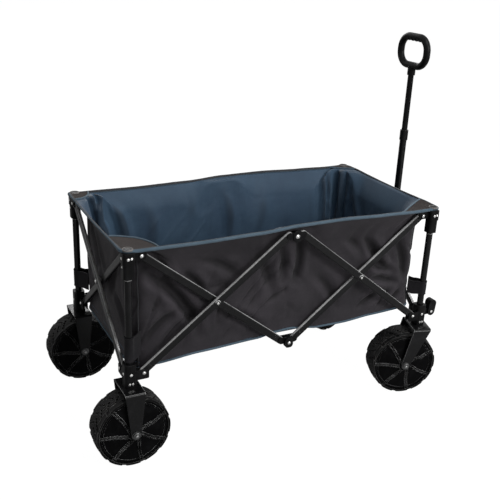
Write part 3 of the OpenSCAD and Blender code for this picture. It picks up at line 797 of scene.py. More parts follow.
@dataclass
class Wall:
    """One wall of the basket with the flange of cloth that turns out over the frame."""

    name: str
    node: str
    body: str
    length: float
    wall_at: Callable[[float], Vector]
    rim_at: Callable[[float], Vector]
    outward: Callable[[float], Vector]
    creases: tuple[Crease, ...] = ()
    seed: float = 0.0
    wall_share: float = 0.86
    roll: float = 0.0046
    pitch: float = 0.0050
    upright: float = 0.300
    pinned: float = 0.018
    proud: float = 0.0030
    deep: float = 0.020
    # Reach and scale of the fold-depth layer that drives the cloth's painted fold shade.
    valley_reach: int = 12
    valley_depth: float = 0.004

    def surface(self, u: float, v: float) -> Vector:
        """Returns the wall's surface.

        Args:
            u: distance along the wall from its middle.
            v: 0 at the lower edge, wall_share at the bend, 1 at the rim.
        """
        foot, edge, out = self.wall_at(u), self.rim_at(u), self.outward(u)
        flat = held_flat(foot.x, foot.y)
        bend = free_bend(foot) + (BLOCK_TOP + 0.0002 - free_bend(foot)) * flat
        low = hem_height(foot.x)
        if v <= self.wall_share:
            up = v / self.wall_share
            height = low + (bend - low) * up
            return Vector((foot.x, foot.y, height)) - out * self.drape(u, height, up)
        turn = (v - self.wall_share) / (1 - self.wall_share)
        knee = Vector((foot.x, foot.y, bend + 0.0020 + 0.0200 * (1.0 - flat)))
        last = Vector((edge.x, edge.y, rim_height(edge.x) - self.roll - 0.0018 * flat))
        start = Vector((foot.x, foot.y, bend))
        fold = out * (self.drape(u, bend, 1.0) * (1 - turn) ** 1.4)
        return start * (1 - turn) ** 2 + knee * (2 * turn * (1 - turn)) + last * turn ** 2 - fold

    def drape(self, u: float, height: float, up: float) -> float:
        """Returns how far the cloth lies inward of its flat place."""
        reach = height - FLOOR_Z
        slack = math.sin(math.pi * min(up, 1.0)) ** 0.7
        broad = noise.noise(Vector((u * 4.2, reach * 5.0, self.seed))) * 0.0050
        fine = noise.noise(Vector((u * 16.0, reach * 11.0, self.seed + 7.0))) * 0.0026
        side = 1.0 if u > 0 else -1.0
        along, across = 0.64 * u - 0.77 * reach * side, 0.77 * u + 0.64 * reach * side
        line = abs(noise.noise(Vector((along * 5.0, across * 17.0, self.seed + 3.0))))
        patch = smooth_step(0.5 + 1.6 * noise.noise(Vector((u * 3.0, reach * 4.0, self.seed + 5.0))))
        fine += (0.0046 if self.node != "left_wall" else 0.0022) * patch * max(0.0, 1.0 - line * 5.0) ** 2
        folds = sum(crease.at(u, reach) for crease in self.creases)
        inward = slack * (0.0035 + broad + fine) + folds * smooth_step(up * 9)
        held = smooth_step((self.length / 2 - abs(u)) / self.pinned)
        return min(max(inward * 1.35 * held, -self.proud), self.deep)

    def build(self) -> bpy.types.Object:
        """Builds the wall as one sheet and dresses it: charcoal outside, lining inside."""
        shape = Shape(self.name)
        mesh = shape.mesh
        uv = mesh.loops.layers.uv.verify()
        valley = mesh.verts.layers.float.new("valley")
        rise = self.upright / self.wall_share
        columns = round(self.length / self.pitch)
        rows = round(rise / self.pitch)
        bmesh.ops.create_grid(mesh, x_segments=columns, y_segments=rows, size=0.5)
        for face in mesh.faces:
            for loop in face.loops:
                x, y = loop.vert.co.x, loop.vert.co.y
                loop[uv].uv = (x * self.length, (y + 0.5) * rise)
        spot = {vert: (round(vert.co.x * 2 * columns), round(vert.co.y * 2 * rows)) for vert in mesh.verts}
        depth: dict[tuple[int, int], float] = {}
        for vert, key in spot.items():
            u, v = vert.co.x * self.length, vert.co.y + 0.5
            vert.co = self.surface(u, v)
            up = min(v / self.wall_share, 1.0)
            depth[key] = self.drape(u, vert.co.z, up) * min((1.0 - v) / (1.0 - self.wall_share), 1.0)
        # Each vertex's depth below the cloth around it goes to the fold-shade layer, which the cloth turns
        # into painted shade in valleys and a painted highlight on ridges.
        steps = (-self.valley_reach, 0, self.valley_reach)
        for vert, (column, row) in spot.items():
            own = depth[(column, row)]
            near = [depth.get((column + a, row + b), own) for a in steps for b in steps]
            vert[valley] = (own - sum(near) / len(near)) / self.valley_depth
        middle = min(mesh.faces, key=lambda f: (f.calc_center_median() - self.surface(0, 0.4)).length)
        middle.normal_update()
        if middle.normal.dot(self.outward(0.0)) < 0:
            bmesh.ops.reverse_faces(mesh, faces=mesh.faces)
        for face in mesh.faces:
            face.smooth = True
        data = bpy.data.meshes.new(self.name)
        mesh.to_mesh(data)
        mesh.free()
        for finish in (CHARCOAL, NAVY):
            data.materials.append(finish.material())
        piece = place_object(self.name, data)
        shell = thicken(piece, SHEET)
        shell.material_offset = 1
        shell.material_offset_rim = 0
        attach(piece, self.body)
        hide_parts(self.node)
        LOG.info("%s: %d faces on %s", self.name, len(data.polygons), self.body)
        return piece


def side_creases(side: Side) -> tuple[Crease, ...]:
    """Returns the wrinkles of a long wall: pulls run from its ties towards the middle."""
    base = [
        Crease((-0.40, 0.25), (-0.27, 0.10), 0.0085, 0.017),
        Crease((-0.37, 0.28), (-0.33, 0.20), 0.0060, 0.011),
        Crease((-0.33, 0.19), (-0.25, 0.05), 0.0060, 0.014),
        Crease((-0.27, 0.27), (-0.14, 0.19), 0.0050, 0.015),
        Crease((-0.29, 0.22), (-0.24, 0.16), 0.0062, 0.012),
        Crease((-0.40, 0.05), (-0.31, 0.13), 0.0058, 0.013),
        Crease((-0.20, 0.10), (-0.08, 0.04), 0.0036, 0.014),
        Crease((-0.10, 0.25), (-0.04, 0.12), 0.0048, 0.016),
        Crease((-0.02, 0.26), (-0.02, 0.16), 0.0060, 0.011),
        Crease((0.03, 0.27), (0.02, 0.15), 0.0064, 0.011),
        Crease((0.08, 0.17), (0.17, 0.05), 0.0046, 0.016),
        Crease((0.16, 0.27), (0.24, 0.19), 0.0060, 0.014),
        Crease((0.22, 0.26), (0.31, 0.13), 0.0090, 0.016),
        Crease((0.26, 0.17), (0.35, 0.12), 0.0066, 0.012),
        Crease((0.27, 0.12), (0.36, 0.09), 0.0060, 0.011),
        Crease((0.24, 0.04), (0.33, 0.07), 0.0068, 0.011),
        Crease((0.30, 0.02), (0.35, 0.07), 0.0060, 0.010),
        Crease((0.34, 0.24), (0.39, 0.10), 0.0070, 0.013),
        Crease((0.38, 0.07), (0.33, 0.02), 0.0060, 0.011),
    ]
    far = [
        Crease((0.338, 0.36), (0.350, 0.05), 0.0120, 0.010),
        Crease((0.372, 0.31), (0.366, 0.06), 0.0090, 0.009),
        Crease((0.412, 0.40), (0.400, 0.05), 0.0160, 0.012),
        Crease((0.428, 0.24), (0.424, 0.08), 0.0080, 0.009),
        Crease((-0.445, 0.37), (-0.345, 0.06), 0.0160, 0.013),
        Crease((-0.380, 0.37), (-0.405, 0.16), 0.0150, 0.010),
        Crease((-0.345, 0.30), (-0.300, 0.10), 0.0060, 0.016),
        Crease((-0.430, 0.22), (-0.415, 0.04), 0.0120, 0.011),
        Crease((-0.24, 0.28), (-0.23, 0.12), 0.0036, 0.026),
        Crease((-0.10, 0.28), (-0.12, 0.14), 0.0032, 0.030),
        Crease((0.01, 0.28), (0.02, 0.10), 0.0052, 0.020),
        Crease((0.14, 0.27), (0.12, 0.12), 0.0036, 0.028),
    ]
    chosen = base if side is Side.RIGHT else far
    share = 1.35 if side is Side.RIGHT else 1.0
    return tuple(Crease(c.start, c.end, c.depth * share, c.width) for c in chosen)


@dataclass
class Basket:
    """The cloth basket: four walls, a two-part floor, rim hem, piping, patches and ties."""

    half_side: float = BASKET_X - BASKET_CORNER + BASKET_CORNER * math.pi / 2
    roll: float = 0.0050
    end_roll: float = 0.0033
    seam_at: float = 0.414
    strap_r: float = 0.0108
    strap_heights: dict[tuple[End, Side], tuple[float, float]] = field(default_factory=lambda: {
        (End.REAR, Side.RIGHT): (0.281, 0.346), (End.FRONT, Side.RIGHT): (0.309, 0.349),
        (End.REAR, Side.LEFT): (0.292, 0.342), (End.FRONT, Side.LEFT): (0.300, 0.345)})
    side_keep: float = 0.43
    hem_keep: float = 0.4544
    end_keep: float = 0.259
    floor_keep: float = 0.4064
    floor_inset: float = 0.0019
    floor_gap: float = 0.00005
    patch_sheet: float = 0.0014
    far_patch: float = 0.62

    def build(self) -> None:
        """Builds every cloth piece."""
        for side in Side:
            self.side_wall(side)
            self.side_hem(side)
            self.side_piping(side)
            self.floor(side)
        for end in End:
            self.end_wall(end)
            self.end_hem(end)
            self.end_piping(end)
            for side in Side:
                self.patch(end, side)
                self.strap(end, side)

    # Paths ------------------------------------------------------------

    def side_point(self, side: Side, along: float, inset: float = 0.0) -> Vector:
        """Returns a point of a long wall's outside face, less an inset."""
        point = plan_point(along, BASKET_X - inset, BASKET_Y - inset, BASKET_CORNER - inset)
        point.y *= side.value
        return point

    def side_rim(self, side: Side, along: float, inset: float = 0.0) -> Vector:
        """Returns the rim's point beside a point of a long wall."""
        corner = RIM_CORNERS[(1 if along > 0 else -1, side.value)]
        whole = RIM_X - corner + corner * math.pi / 2 + RIM_Y - corner - WALL_SPLIT
        point = plan_point(along * whole / self.half_side, RIM_X - inset, RIM_Y - inset, corner)
        point.y *= side.value
        return point

    def side_out(self, side: Side, along: float) -> Vector:
        """Returns a long wall's outward direction."""
        step = 0.001
        forward = self.side_point(side, along + step) - self.side_point(side, along - step)
        out = Vector((forward.y, -forward.x, 0.0)).normalized()
        return out if out.y * side.value > 0 or abs(out.y) < 1e-6 and out.x * along > 0 else -out

    # Walls ------------------------------------------------------------

    def side_wall(self, side: Side) -> None:
        """Builds a long wall; it crumples towards the middle hub that carries it."""
        wall = Wall(f"{side.word}_side_cloth", f"{side.word}_wall", f"{side.word}_top_hub_body",
                    2 * self.half_side,
                    lambda u: self.side_point(side, u, 0.0002),
                    lambda u: self.side_rim(side, u, 0.0052),
                    lambda u: self.side_out(side, u),
                    side_creases(side), 3.0 + side.value)
        piece = wall.build()
        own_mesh(piece)
        for along in (-self.seam_at, self.seam_at):
            self.seam(side, wall, along)

    def end_wall(self, end: End) -> None:
        """Builds a short wall; it crumples towards the right-hand post that carries it."""
        out = Vector((end.value, 0.0, 0.0))
        length = 2 * WALL_SPLIT + 0.003
        creases = (
            Crease((-0.12, 0.26), (-0.02, 0.10), 0.0044, 0.016),
            Crease((0.13, 0.27), (0.04, 0.12), 0.0044, 0.016),
            Crease((-0.14, 0.05), (-0.05, 0.14), 0.0036, 0.014),
            Crease((0.15, 0.06), (0.08, 0.16), 0.0040, 0.014),
            Crease((0.155, 0.28), (0.15, 0.10), 0.0050, 0.011),
            Crease((-0.155, 0.28), (-0.15, 0.10), 0.0050, 0.011),
        )
        wall = Wall(f"{end.word}_end_cloth", f"{end.word}_wall", f"{end.word}_right_top", length,
                    lambda u: Vector((MID_X + end.value * (BASKET_X - 0.0002), u, 0.0)),
                    lambda u: Vector((MID_X + end.value * (RIM_X - 0.0036), u, 0.0)),
                    lambda u: out, creases, 11.0 + end.value)
        piece = wall.build()
        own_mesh(piece)

    # Hem and piping ---------------------------------------------------

    def hem_shape(self, name: str, path: list[Vector], out: Callable[[int], Vector],
                  thick: Callable[[int], float]) -> Shape:
        """Returns the bound edge of the rim: tape rolled round a cord, with a stitched fold; its inner
        upper side is dark as a painted shade line.
        """
        facets = 18

        def section(step: int) -> list[Vector]:
            """Gives the roll's outline at one step; a small notch marks the tape's seam."""
            point, away = path[step], out(step)
            puff = 1.0 + 0.05 * noise.noise(Vector((step * 0.31, point.x * 9.0, point.y * 9.0)))
            ring = []
            for k in range(facets):
                angle = math.tau * k / facets
                reach = thick(step) * puff * (0.90 if k in (4, 12) else 1.0)
                ring.append(point + away * (reach * math.cos(angle))
                            + Vector((0, 0, reach * 0.94 * math.sin(angle))))
            return ring
        shape = Shape(name).sweep(path, section)
        # Faces on the roll's inner, upper side take the second finish, the dark tape: a painted shade line
        # along the top of the rims seen from inside.
        for face in shape.mesh.faces:
            middle = face.calc_center_median()
            step = min(range(len(path)), key=lambda k: (path[k] - middle).length_squared)
            offset = middle - path[step]
            face.material_index = 1 if offset.dot(out(step)) < 0.12 * thick(step) < offset.z * 9 else 0
        return shape

    def side_hem(self, side: Side) -> None:
        """Builds the hem along a long side and round its two corners."""
        count = 220
        path: list[Vector] = []
        sizes: list[float] = []
        for k in range(count + 1):
            along = self.half_side * (2 * k / count - 1)
            thin = smooth_step((abs(along) - 0.400) / (self.half_side - 0.402))
            sizes.append(self.roll + (self.end_roll - self.roll) * thin)
            point = self.side_rim(side, along, sizes[-1])
            path.append(Vector((point.x, point.y, rim_height(point.x) - sizes[-1])))
        def out(step: int) -> Vector:
            """Gives the outward direction at one step."""
            a, b = path[max(step - 1, 0)], path[min(step + 1, count)]
            away = Vector((b.y - a.y, a.x - b.x, 0.0)).normalized()
            return away * -side.value
        piece = self.hem_shape(f"{side.word}_side_hem", path, out, lambda step: sizes[step]).finish(
            (BLUE_TAPE, DARK_TAPE), f"{side.word}_top_hub_body", Slot.LINING)
        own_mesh(piece)

    def end_hem(self, end: End) -> None:
        """Builds the hem across a short end, which sags a little in the middle."""
        count = 48
        x = MID_X + end.value * (RIM_X - self.end_roll)
        path = []
        for k in range(count + 1):
            sag = 0.0030 * math.sin(math.pi * k / count)
            path.append(Vector((x, (WALL_SPLIT + 0.002) * (2 * k / count - 1),
                                rim_height(x) - self.end_roll - sag)))
        piece = self.hem_shape(f"{end.word}_end_hem", path, lambda step: Vector((end.value, 0.0, 0.0)),
                               lambda step: self.end_roll).finish(
            (BLUE_TAPE, DARK_TAPE), f"{end.word}_right_top", Slot.LINING)
        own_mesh(piece)

    def side_piping(self, side: Side) -> None:
        """Builds the blue piping along the lower edge of a long side."""
        count = 130
        path = []
        for k in range(count + 1):
            along = self.half_side * (2 * k / count - 1)
            point = self.side_point(side, along, 0.0006)
            path.append(Vector((point.x, point.y, hem_height(point.x) - 0.0008)))
        piece = Shape(f"{side.word}_lower_piping").sweep(path, ring_section(path, 0.0030, 8)).finish(
            (BLUE_TAPE,), f"{side.word}_top_hub_body", Slot.LINING)
        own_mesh(piece)

    def end_piping(self, end: End) -> None:
        """Builds the blue piping along the lower edge of a short end."""
        count = 30
        x = MID_X + end.value * (BASKET_X - 0.0006)
        path = [Vector((x, -WALL_SPLIT - 0.002 + (2 * WALL_SPLIT + 0.004) * k / count,
                        hem_height(x) - 0.0008)) for k in range(count + 1)]
        piece = Shape(f"{end.word}_lower_piping").sweep(path, ring_section(path, 0.0030, 8)).finish(
            (BLUE_TAPE,), f"{end.word}_right_top", Slot.LINING)
        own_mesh(piece)

    # Floor ------------------------------------------------------------

    def floor(self, side: Side) -> None:
        """Builds half the floor: a lined board panel, quilted in three fields."""
        shape = Shape(f"{side.word}_floor_cloth")
        mesh = shape.mesh
        mesh.loops.layers.uv.verify()
        half_x, half_y = BASKET_X - self.floor_inset, BASKET_Y - self.floor_inset
        corner = BASKET_CORNER - self.floor_inset
        bmesh.ops.create_grid(mesh, x_segments=120, y_segments=30, size=0.5)
        for vert in mesh.verts:
            y = self.floor_gap + (vert.co.y + 0.5) * (half_y - self.floor_gap)
            over = y - (half_y - corner)
            reach = half_x
            if over > 0:
                reach = half_x - corner + math.sqrt(max(corner * corner - over * over, 0.0))
            x = MID_X + vert.co.x * 2 * reach
            field_x = abs(((x - MID_X) / 0.28 + 1.5) % 1.0 - 0.5) * 2
            field_y = min(y, half_y - y) / 0.03
            crown = smooth_step((1 - field_x) * 6) * smooth_step(field_y)
            ripple = noise.noise(Vector((x * 9, y * 9, side.value * 5.0))) * 0.0006
            edge = min(half_y - y, reach - abs(x - MID_X))
            curl = max(hem_height(x) + 0.004 - FLOOR_Z, 0.0) * (1 - smooth_step(edge / 0.018)) ** 2
            vert.co = (x, side.value * y, FLOOR_Z + 0.0002 + 0.0026 * crown + ripple * crown + curl)
        lay_flat_map(mesh)
        piece = shape.finish((NAVY,), f"{side.word}_floor_body", Slot.LINING)
        if piece.data.polygons[len(piece.data.polygons) // 2].normal.z < 0:
            piece.data.flip_normals()
        thicken(piece, SHEET)
        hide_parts(f"{side.word}_floor")
        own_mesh(piece)

    # Corners -----------------------------------------------------------

    def patch(self, end: End, side: Side) -> None:
        """Builds the reinforcing patch over a corner, its bound inner edge and its eyelet."""
        body = f"{end.word}_{side.word}_top"
        rear = end is End.REAR
        reach_x, reach_y, bulge = (0.094, 0.108, 1.0) if rear else (0.132, 0.090, 0.12)
        if side is Side.LEFT:
            reach_x, reach_y = reach_x * self.far_patch, reach_y * self.far_patch
        corner = Vector((MID_X + end.value * RIM_X, side.value * RIM_Y, 0.0))

        def placed(flat: Vector, height: float) -> Vector:
            """Places a point given by its distances in from the rim's corner."""
            return Vector((corner.x - end.value * flat.x, corner.y - side.value * flat.y, height))

        def inner(a: float) -> Vector:
            """Returns the bound inner edge, from the long side to the short one."""
            straight = Vector((reach_x * (1 - a), reach_y * a))
            round_part = Vector((reach_x * math.cos(a * math.pi / 2), reach_y * math.sin(a * math.pi / 2)))
            flat = straight * (1 - bulge) + round_part * bulge
            return Vector((max(flat.x, 0.0060), max(flat.y, 0.0060)))

        def outer(a: float) -> Vector:
            """Returns the edge tucked into the rim's roll, round the corner."""
            inset, turn = 0.0062, RIM_CORNERS[(end.value, side.value)]
            if a < 0.4:
                return Vector((turn + (reach_x - turn) * (1 - a / 0.4), inset))
            if a > 0.6:
                return Vector((inset, turn + (reach_y - turn) * (a - 0.6) / 0.4))
            angle = (a - 0.4) / 0.2 * math.pi / 2
            reach = turn - inset
            return Vector((turn - reach * math.sin(angle), turn - reach * math.cos(angle)))

        def height(flat: Vector, b: float) -> float:
            """Returns the patch's height: it is lifted by the post's cap and sags at its free edge."""
            post = math.hypot(flat.x - (RIM_X - POST_X), flat.y - (RIM_Y - POST_Y))
            rim = rim_height(placed(flat, 0.0).x) - 0.0016
            ripple = 0.0007 * noise.noise(Vector((flat.x * 30, flat.y * 30, 3.0 * end.value + side.value)))
            return rim - 0.0012 * (1 - b) + 0.0008 * math.exp(-(post / 0.018) ** 2) + ripple

        shape = Shape(f"{end.word}_{side.word}_patch")
        mesh = shape.mesh
        mesh.loops.layers.uv.verify()
        bmesh.ops.create_grid(mesh, x_segments=40, y_segments=22, size=0.5)
        for vert in mesh.verts:
            a, b = vert.co.x + 0.5, vert.co.y + 0.5
            flat = inner(a) * (1 - b) + outer(a) * b
            vert.co = placed(flat, height(flat, b))
        lay_flat_map(mesh)
        piece = shape.finish((PATCH,), body, Slot.CLOTH)
        if sum(p.normal.z for p in piece.data.polygons) < 0:
            piece.data.flip_normals()
        thicken(piece, self.patch_sheet)
        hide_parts(f"{end.word}_{side.word}_corner_flap")
        path = [placed(inner(k / 40), height(inner(k / 40), 0.0) - 0.0002) for k in range(41)]
        Shape(f"{end.word}_{side.word}_patch_binding").sweep(path, ring_section(path, 0.0028, 10)).finish(
            (BLUE_TAPE,), body, Slot.LINING)
        post = Vector((RIM_X - POST_X, RIM_Y - POST_Y))
        self.eyelet(end, side, placed(post, height(post, 0.6)))

    def eyelet(self, end: End, side: Side, centre: Vector) -> None:
        """Builds the ring and cap that hold a patch on its post."""
        # The ring's pale grey tape is a painted highlight where the patch crowns over the post.
        Shape(f"{end.word}_{side.word}_eyelet_ring").lathe(
            [(0.0100, -0.0014), (0.0132, -0.0014), (0.0135, 0.0006), (0.0127, 0.0017), (0.0108, 0.0018),
             (0.0100, 0.0010), (0.0100, -0.0014)], tuple(centre), Vector((0, 0, 1)), 36).finish(
            (GREY_TAPE,), f"{end.word}_{side.word}_top", Slot.CLOTH)
        Shape(f"{end.word}_{side.word}_eyelet_cap").lathe(
            [(0.0, -0.0012), (0.0102, -0.0012), (0.0102, 0.0009), (0.0070, 0.0007), (0.0, 0.0007)],
            tuple(centre), Vector((0, 0, 1)), 36).finish(
            (BRACKET,), f"{end.word}_{side.word}_top", Slot.BRACKET)

    def strap(self, end: End, side: Side) -> None:
        """Builds the loop of cloth that ties a corner of the basket to its post."""
        low, high = self.strap_heights[(end, side)]
        ex, sy = end.value, side.value
        post = Vector((MID_X + ex * POST_X, sy * POST_Y, 0.0))
        feet = []
        for angle in (math.radians(28), math.radians(72)):
            reach = BASKET_CORNER + 0.0008
            feet.append(Vector((MID_X + ex * (BASKET_X - BASKET_CORNER + reach * math.sin(angle)),
                                sy * (WALL_SPLIT + reach * math.cos(angle)), 0.0)))
        side_foot, end_foot = feet
        outward = Vector((ex, sy, 0.0)).normalized()
        across = Vector((ex, -sy, 0.0)).normalized()
        path = [side_foot]
        for k in range(17):
            angle = math.radians(-112 + 224 * k / 16)
            path.append(post + (outward * math.cos(angle) + across * math.sin(angle)) * self.strap_r)
        path.append(end_foot)
        path = [a.lerp(b, t / 5) for a, b in zip(path[:1], path[1:2]) for t in range(5)] + path[1:-1] + [
            path[-2].lerp(path[-1], t / 5) for t in range(1, 6)]
        last = len(path) - 1

        def section(step: int) -> list[Vector]:
            """Gives the band's outline at one step; its edges are folded over."""
            a, b = path[max(step - 1, 0)], path[min(step + 1, last)]
            away = Vector((b.y - a.y, a.x - b.x, 0.0)).normalized()
            if away.dot(path[step] - (side_foot + end_foot) / 2) < 0:
                away = -away
            mid, half = (low + high) / 2, (high - low) / 2
            slack = 0.0010 * math.sin(step * 1.7 + ex)
            outline = [(-0.0008, -1.0), (0.0012, -1.0), (0.0014, -0.90), (0.0006, -0.86), (0.0009, 0.0),
                       (0.0006, 0.86), (0.0014, 0.90), (0.0012, 1.0), (-0.0008, 1.0)]
            return [Vector((path[step].x, path[step].y, mid)) + away * p
                    + Vector((0, 0, q * half + slack)) for p, q in outline]
        Shape(f"{end.word}_{side.word}_strap").sweep(path, section).finish(
            (STRAP,), f"{end.word}_{side.word}_corner", Slot.CLOTH)

    def seam(self, side: Side, wall: Wall, along: float) -> None:
        """Builds a corded seam up a long wall, where its corner panel is sewn on."""
        steps = 40
        path = []
        for k in range(steps + 1):
            v = wall.wall_share * (0.02 + 0.95 * k / steps)
            path.append(wall.surface(along, v) + wall.outward(along) * 0.0006)
        piece = Shape(f"{side.word}_{'rear' if along < 0 else 'front'}_seam").sweep(
            path, ring_section(path, 0.0016, 8)).finish((DARK_TAPE,), wall.body, Slot.CLOTH)
        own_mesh(piece)


# ---------- Frame ----------


@dataclass
class Fasteners:
    """Bright rivet heads over the frame's pins."""

    heads: dict[str, list[tuple[Point, Vector, float]]] = field(default_factory=dict)
    pivot_r: float = 0.0035
    crossing_r: float = 0.0027
    post_r: float = 0.0030
    foot_r: float = 0.0032
    screw_r: float = 0.0024
    crown_screw_r: float = 0.0026
    top_hub_r: float = 0.0044
    low_hub_r: float = 0.0036
    lock_r: float = 0.0034
    end_cross_r: float = 0.0040

    def add(self, body: str, place: Point, out: Vector, radius: float) -> None:
        """Notes one head: its foot's centre, its direction and its radius."""
        self.heads.setdefault(body, []).append((place, out, radius))

    def side_heads(self, end: End, side: Side) -> None:
        """Notes the heads that face out of a long side at one corner."""
        e, s = end.value, side.value
        out = Vector((0, s, 0))
        x = MID_X + e * PIVOT_X
        seat = CLEVIS + PIN_HEAD
        top, low = f"{end.word}_{side.word}_top", f"{end.word}_{side.word}_corner"
        self.add(low, (x, s * (POST_Y + LAYER + seat), LOW_Z), out, self.pivot_r)
        self.add(top, (x, s * (POST_Y - LAYER + seat), HIGH_Z), out, self.pivot_r)
        self.add(f"{end.word}_{side.word}_rising",
                 (MID_X + e * (PIVOT_X + HUB_X) / 2, s * (POST_Y + LAYER + STRUT_HALF + PIN_HEAD), CROSS_Z),
                 out, self.crossing_r)
        post = MID_X + e * POST_X
        screw_z = CROWN_Z + 0.010
        for body, height, offset, radius in (
                (top, HIGH_Z, -0.003, self.post_r), (top, HIGH_Z + 0.001, 0.005, self.screw_r),
                (low, LOW_Z, 0.0, self.foot_r), (low, screw_z, -0.004, self.crown_screw_r),
                (low, screw_z, 0.004, self.crown_screw_r)):
            self.add(body, (post + offset, s * (POST_Y + BLOCK), height), out, radius)

    def end_heads(self, end: End, side: Side) -> None:
        """Notes the heads that face out of a short end at one corner."""
        e, s = end.value, side.value
        away = Vector((e, 0, 0))
        right = side is Side.RIGHT
        seat = CLEVIS + PIN_HEAD
        low_plane = POST_X + (LAYER if right else -LAYER) + seat
        high_plane = POST_X + (-LAYER if right else LAYER) + seat
        top, low = f"{end.word}_{side.word}_top", f"{end.word}_{side.word}_corner"
        self.add(low, (MID_X + e * low_plane, s * PIVOT_Y, LOW_Z), away, self.pivot_r)
        self.add(top, (MID_X + e * high_plane, s * PIVOT_Y, HIGH_Z), away, self.pivot_r)
        self.add(top, (MID_X + e * (POST_X + BLOCK), s * POST_Y, HIGH_Z), away, self.post_r)
        self.add(top, (MID_X + e * (POST_X + BLOCK - 0.0015), s * POST_Y, HIGH_Z - 0.022), away,
                 self.screw_r)
        self.add(low, (MID_X + e * (POST_X + BLOCK), s * POST_Y, LOW_Z), away, self.foot_r)

    def collect(self) -> None:
        """Lists every rivet head of the frame by the body that carries it."""
        for side in Side:
            s = side.value
            out = Vector((0, s, 0))
            for end in End:
                self.side_heads(end, side)
                self.end_heads(end, side)
            self.add(f"{side.word}_top_hub_body",
                     (MID_X, s * (POST_Y + LAYER + CLEVIS + 0.002), HIGH_Z - 0.0015), out, self.top_hub_r)
            self.add(f"{side.word}_bottom_hub_body",
                     (MID_X, s * (POST_Y - LAYER + CLEVIS + 0.008), LOW_Z - 0.005), out, self.low_hub_r)
            for turn in (-1, 1):
                self.add(f"front_{side.word}_corner",
                         (MID_X + POST_X + 0.038, s * POST_Y + turn * 0.011, LOW_Z),
                         Vector((0, turn, 0)), self.lock_r)
        for end in End:
            e = end.value
            reach = POST_X + LAYER + STRUT_HALF + PIN_HEAD + (0.0 if end is End.REAR else 0.0071)
            self.add(f"{end.word}_outer", (MID_X + e * reach, 0.0, CROSS_Z), Vector((e, 0, 0)),
                     self.end_cross_r)

    def build(self) -> None:
        """Builds one piece of heads for each body: a washer with a bright dome on it."""
        self.collect()
        for body, heads in self.heads.items():
            shape = Shape(f"{body}_rivets")
            for place, out, radius in heads:
                shape.lathe([(0.0, -0.0004), (radius * 1.22, -0.0004), (radius * 1.22, 0.0004),
                             (radius * 1.02, 0.0006), (radius, 0.0010), (radius * 0.86, radius * 0.36),
                             (radius * 0.5, radius * 0.52), (0.0, radius * 0.58)], place, out, 20)
            shape.finish((ZINC,), body, Slot.FORK)


@dataclass
class Running:
    """Axle bolts, nuts and washers of the four wheels."""

    trail: float = 0.040
    turned: float = math.radians(17)
    leg_out: float = 0.0475

    def axle(self, end: End, side: Side) -> tuple[Vector, Vector]:
        """Returns a wheel's centre and its axle's direction away from the cart."""
        s = side.value
        if end is End.REAR:
            return Vector((MID_X - POST_X, s * POST_Y, AXLE_Z)), Vector((0, s, 0))
        centre = Vector((MID_X + POST_X - self.trail * math.cos(self.turned),
                         s * (POST_Y - self.trail * math.sin(self.turned)), AXLE_Z))
        return centre, Vector((-math.sin(self.turned), s * math.cos(self.turned), 0.0)).normalized()

    def build(self) -> None:
        """Builds the bolts of every wheel."""
        for end in End:
            for side in Side:
                centre, out = self.axle(end, side)
                body = f"rear_{side.word}_corner" if end is End.REAR else f"front_{side.word}_caster"
                washer = Shape(f"{end.word}_{side.word}_axle_washers")
                tip = Shape(f"{end.word}_{side.word}_axle_tips")
                for sign in (1, -1):
                    foot = tuple(centre + out * sign * self.leg_out)
                    washer.lathe([(0.0, -0.0004), (0.0112, -0.0004), (0.0112, 0.0012), (0.0088, 0.0015),
                                  (0.0088, 0.0052), (0.0076, 0.0062), (0.0, 0.0062)], foot, out * sign, 30)
                    top = tuple(centre + out * sign * (self.leg_out + 0.0060))
                    tip.lathe([(0.0, -0.0006), (0.0036, -0.0006), (0.0036, 0.0014), (0.0026, 0.0022),
                               (0.0, 0.0024)], top, out * sign, 20)
                washer.finish((DARK_STEEL,), body, Slot.FORK)
                tip.finish((AXLE_STEEL,), body, Slot.FORK)


@dataclass
class Dress:
    """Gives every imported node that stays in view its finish."""

    rules: tuple[tuple[str, Finish], ...] = (
        ("_strut", FRAME_COAT), ("_post_tube", FRAME_COAT), ("_post_rod", HANDLE_COAT),
        ("_fork", FORK_COAT), ("_tyre", TREAD), ("_wheel", WHEEL), ("handle_grip", GRIP),
        ("handle_outer_tube", HANDLE_COAT), ("handle_inner_tube", HANDLE_COAT),
        ("_bracket", BRACKET), ("_hub", BRACKET), ("_lock", BRACKET),
    )

    def build(self) -> None:
        """Assigns the finishes by the end of each node's name."""
        for name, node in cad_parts.items():
            finish = next((f for ending, f in self.rules if name.endswith(ending)), CHARCOAL)
            node.data.materials.clear()
            node.data.materials.append(finish.material())


# ---------- Studio ----------


